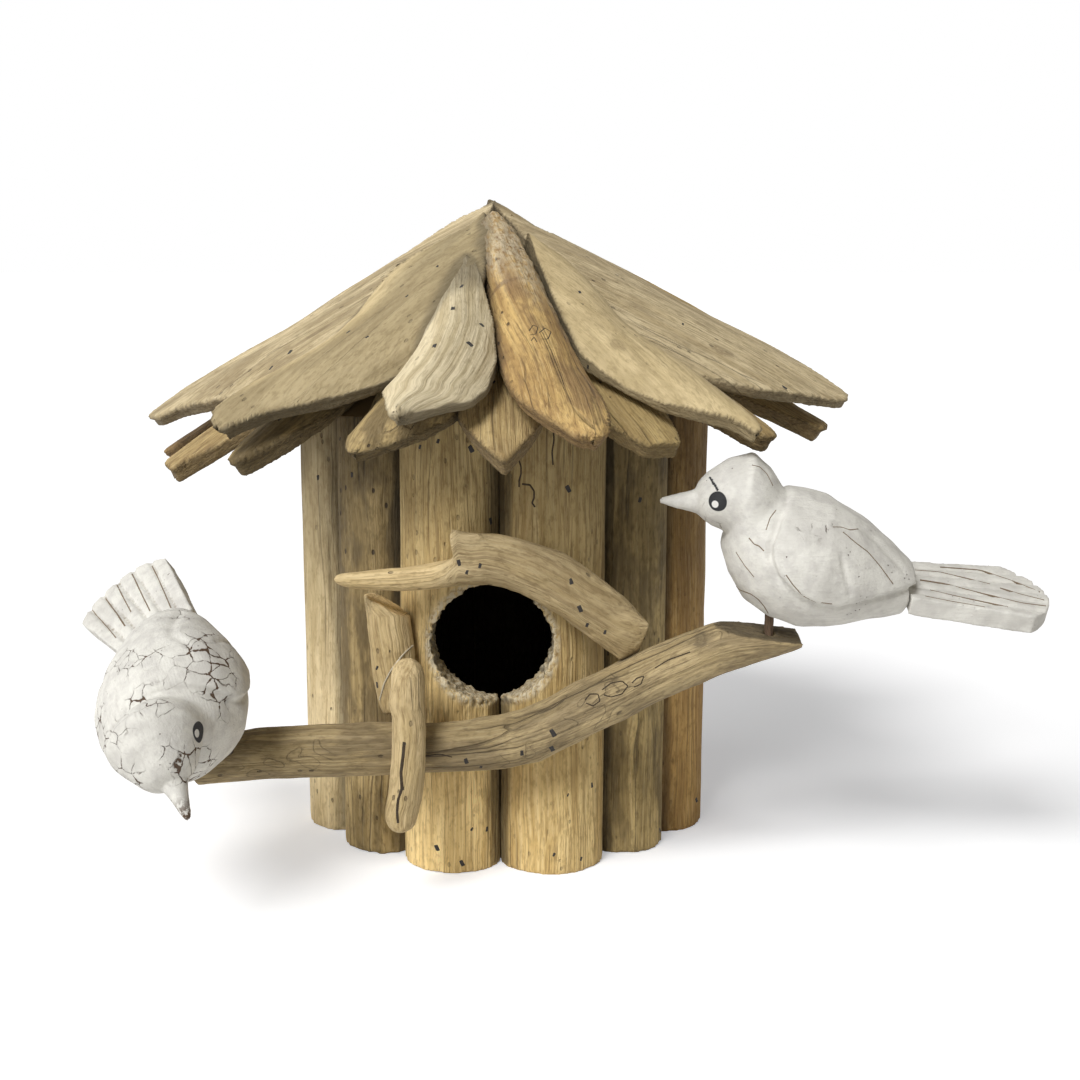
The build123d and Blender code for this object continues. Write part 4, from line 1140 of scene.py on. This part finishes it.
def make_bird(side, crackle, smeared):
    """Carved and painted bird: body with wing relief, fan tail and leg peg."""
    body = skin_of(side + "_bird_body", BIRD_VOXEL, 4)
    roughen(body, knife, KNIFE_MARKS, Matrix.Translation(KNIFE_SHIFT))
    place = bird_place(read(body, "co"), side)
    flat = place[:, [0, 2]]
    outline = polyline_distance(flat, WING_OUTLINE + WING_OUTLINE[:1])
    wing = np.where(inside(flat, WING_OUTLINE), outline, -outline)
    nape = NAPE_SHARE + (1 - NAPE_SHARE) * step(place[:, 2], *NAPE_HEIGHTS)
    press(body, step(wing, *WING_STEP) * nape, WING_RISE)
    press(body, step(np.abs(wing - WING_STEP[0]), *GROOVE_WIDTH) * nape, GROOVE_RISE)
    for line in (WING_CREASE, WING_FOLD):
        press(body, step(polyline_distance(flat, line), *CREASE_WIDTH), CREASE_RISE)
    finish_with(body, "SMOOTH", factor=0.5, iterations=2)
    eye = bird_place(np.array([on_skin(body, EYE_PIXELS[side])[0]]), side)[0]
    eye[1] = abs(eye[1])
    dot = eye + np.array([EYE_DOTS[side][0], 0.0, EYE_DOTS[side][1]])
    eyes = (tuple(eye), tuple(dot))
    tail = skin_of(side + "_bird_tail", TAIL_VOXEL, 2)
    roughen(tail, swell, TAIL_SWELL, Matrix.Identity(4))
    soil = BODY_SOIL - BODY_SOIL * smeared
    paint = bird_material(side + "_bird_paint", crackle, smeared, soil, *eyes)
    plain = bird_material(side + "_tail_paint", TAIL_CRACKLE, 0.0, TAIL_SOIL, *eyes)
    for piece, name, rounds, material in ((body, "_bird_body", 4, paint), (tail, "_bird_tail", 3, plain)):
        store(piece, "place", bird_place(read(piece, "co"), side))
        store(piece, "hollow", hollows(piece, rounds))
        dress(piece, side + name, material)
        skins[side + name] = piece

    peg = skin_of(side + "_bird_leg", PEG_VOXEL, 2)
    roughen(peg, ripple, PEG_RIPPLE, Matrix.Identity(4))
    wood_attributes(peg, side + "_bird_leg", read(peg, "co") / MM, 1)
    dress(peg, side + "_bird_leg", woods["peg"])


staves = sorted(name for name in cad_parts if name.endswith("_stave"))
for number, name in enumerate(staves):
    make_stave(name, number)
petals = sorted(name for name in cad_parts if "_petal_" in name)
for number, name in enumerate(petals):
    make_petal(name, number + PETAL_SEED)
for name, settings in LIMBS.items():
    make_limb(name, *settings)
seen_petals = [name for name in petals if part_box(name)[0].y < SEEN_FRONT]
shade_seams(seen_petals, *PETAL_SEAM_SHADE)
shade_seams([*STAVE_TONES, *LIMBS], *LIMB_SEAM_SHADE)
for name, settings in BIRD_PAINTS.items():
    make_bird(name, *settings)


def plain_material(name):
    """Grimy finish of one colour, for the small parts."""
    material, bench, shader = shaded(name)
    colour, rough = PLAIN_FINISHES[name]
    grime = bench.noise(bench.put("TexCoord", {}, 3), GRIME_SCALE, 3, 0.6)
    dark = tuple(value * GRIME_SHARE for value in colour)
    bench.feed(shader.inputs["Base Color"], bench.mix(grime, (*dark, 1.0), (*colour, 1.0)))
    bench.feed(shader.inputs["Roughness"], bench.ramp(grime, 0.3, 0.7, rough - 0.15, rough + 0.1))
    bump(bench, shader, grime, PLAIN_BUMP)
    return material


def join_all(parts, name, material):
    """Join small parts into one piece that rides with the house."""
    bpy.ops.object.select_all(action="DESELECT")
    for part in parts:
        part.select_set(True)
    bpy.context.view_layer.objects.active = parts[0]
    bpy.ops.object.join()
    piece = bpy.context.object
    piece.name = name
    bpy.ops.object.transform_apply(location=True, rotation=True, scale=True)
    piece.data.materials.clear()
    piece.data.materials.append(material)
    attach(piece, "root")
    return piece


def drive_brad(point, normal, turn, small):
    """One brad: a dark block whose head lies almost flush."""
    bpy.ops.object.select_all(action="DESELECT")
    bpy.ops.mesh.primitive_cube_add(size=1.0)
    brad = bpy.context.object
    width, height, depth = (size * MM for size in BRAD_SIZE)
    facing = normal.to_track_quat("Z", "Y").to_matrix().to_4x4()
    seat = Matrix.Translation(point - normal * (depth / 2 - BRAD_PROUD * MM))
    size = Matrix.Diagonal((width * small, height * small, depth, 1))
    brad.matrix_world = seat @ facing @ Matrix.Rotation(turn, 4, "Z") @ size
    return brad


def drive_brads():
    """Brads where the photograph shows them, and the same rows on the staves that it hides."""
    brads = []
    for node, pixels in BRADS.items():
        for pixel in pixels:
            hit = on_skin(skins[node], pixel)
            if hit:
                chance = np.sin(pixel[0] * 12.9 + pixel[1] * 78.2)
                size = BRAD_SHARES[0] + BRAD_SHARES[1] * chance
                brads.append(drive_brad(*hit, chance * BRAD_TURN, size))
    for node in staves:
        if node in BRADS:
            continue
        low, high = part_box(node)
        middle = (low + high) / 2
        out = Vector((middle.x, middle.y, 0)).normalized()
        side = Vector((-out.y, out.x, 0))
        for number, (height, aside) in enumerate(REAR_BRADS):
            start = out * REAR_BRAD_START + side * (aside * MM)
            start.z = height * MM
            found, point, normal, _ = skins[node].ray_cast(start, -out)
            if found:
                turn = REAR_BRAD_TURNS[0] + REAR_BRAD_TURNS[1] * number
                brads.append(drive_brad(point, normal, turn, 1.0))
    heads = join_all(brads, "brads", plain_material("rusted_brad"))
    finish_with(heads, "BEVEL", width=BRAD_BEVEL * MM, segments=2, limit_method="NONE")
    roughen(heads, ripple, BRAD_RUST, Matrix.Identity(4))


def lay_lines(lines, sink):
    """Lines of all the pieces in a table, sunk by a share of their radius."""
    rows = [(node, radius, pixels) for node, listed in lines.items() for radius, pixels in listed]
    return [lay_line(node, radius, pixels, radius * sink) for node, radius, pixels in rows]


def lay_line(node, radius, pixels, sink):
    """Thin round line that lies in a skin along pixels of the photograph."""
    places = np.linspace(0, len(pixels) - 1, LINE_STEPS * (len(pixels) - 1) + 1)
    columns = [np.interp(places, range(len(pixels)), column) for column in zip(*pixels)]
    hits = [hit for hit in (on_skin(skins[node], pixel) for pixel in zip(*columns)) if hit]
    curve = bpy.data.curves.new("line", "CURVE")
    curve.dimensions = "3D"
    curve.bevel_depth = radius * MM
    curve.bevel_resolution = 2
    curve.use_fill_caps = True
    spline = curve.splines.new("NURBS")
    spline.points.add(len(hits) - 1)
    spline.use_endpoint_u = True
    for knot, (point, normal) in zip(spline.points, hits):
        knot.co = (*(point - normal * (sink * MM)), 1.0)
    line = bpy.data.objects.new("line", curve)
    bpy.context.scene.collection.objects.link(line)
    pick(line)
    bpy.ops.object.convert(target="MESH")
    return bpy.context.object


drive_brads()
tracks = lay_lines(TRACKS, TRACK_SINK)
join_all(tracks, "worm_tracks", plain_material("worm_track"))
cracks = lay_lines(PAINT_CRACKS, CRACK_SINK)
join_all(cracks, "paint_cracks", plain_material("bare_crack"))
glue = lay_line("jamb_stub", GLUE_RADIUS, GLUE, GLUE_SINK)
join_all([glue], "glue_strand", plain_material("dried_glue"))

# Discs and core keep their solids, in sawn wood
for name in ("floor_disc", "ceiling_disc", "roof_core"):
    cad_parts[name].data.materials.clear()
    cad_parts[name].data.materials.append(woods["sawn"])


def seen_directly(bench):
    """Mask of what the camera sees itself, in a mirror or through glass."""
    path = bench.put("LightPath", {}).node.outputs
    direct = bench.math("MAXIMUM", path["Is Camera Ray"], path["Is Glossy Ray"])
    return bench.math("MAXIMUM", direct, path["Is Transmission Ray"])


def make_stage():
    """White floor, soft light from the front left, and the camera."""
    bpy.ops.object.select_all(action="DESELECT")
    bpy.ops.mesh.primitive_plane_add(size=GROUND_SIZE, location=(0, 0, 0))
    ground = bpy.context.object
    ground.name = "ground"
    material, bench, shader = shaded("white_ground")
    shader.inputs["Base Color"].default_value = (*GROUND_WHITE, 1.0)
    shader.inputs["Roughness"].default_value = 1.0
    shader.inputs["Specular IOR Level"].default_value = 0.0
    bench.feed(shader.inputs["Emission Strength"], bench.times(seen_directly(bench), GROUND_LIFT))
    shader.inputs["Emission Color"].default_value = (*GROUND_TINT, 1.0)
    ground.data.materials.append(material)

    world = bpy.data.worlds.new("studio")
    world.use_nodes = True
    bpy.context.scene.world = world
    bench = Bench(world.node_tree)
    background = world.node_tree.nodes["Background"]
    direct = seen_directly(bench)
    bench.feed(background.inputs["Color"], bench.mix(direct, (*AMBIENT_COLOUR, 1.0), (1.0, 1.0, 1.0, 1.0)))
    bench.feed(background.inputs["Strength"], bench.ramp(direct, 0.0, 1.0, AMBIENT, 1.0))

    for name, strength, spread, direction in LAMPS:
        lamp = bpy.data.lights.new(name, "SUN")
        lamp.energy = strength
        lamp.angle = radians(spread)
        holder = bpy.data.objects.new(name, lamp)
        holder.rotation_euler = Vector(direction).to_track_quat("-Z", "Y").to_euler()
        bpy.context.scene.collection.objects.link(holder)

    lens = bpy.data.cameras.new("camera")
    lens.lens = CAMERA_LENS
    lens.sensor_width = CAMERA_SENSOR
    camera = bpy.data.objects.new("camera", lens)
    camera.location = CAMERA_PLACE
    camera.rotation_euler = (radians(CAMERA_PITCH), 0.0, 0.0)
    bpy.context.scene.collection.objects.link(camera)
    bpy.context.scene.camera = camera
    bpy.context.scene.view_settings.view_transform = "Standard"


make_stage()
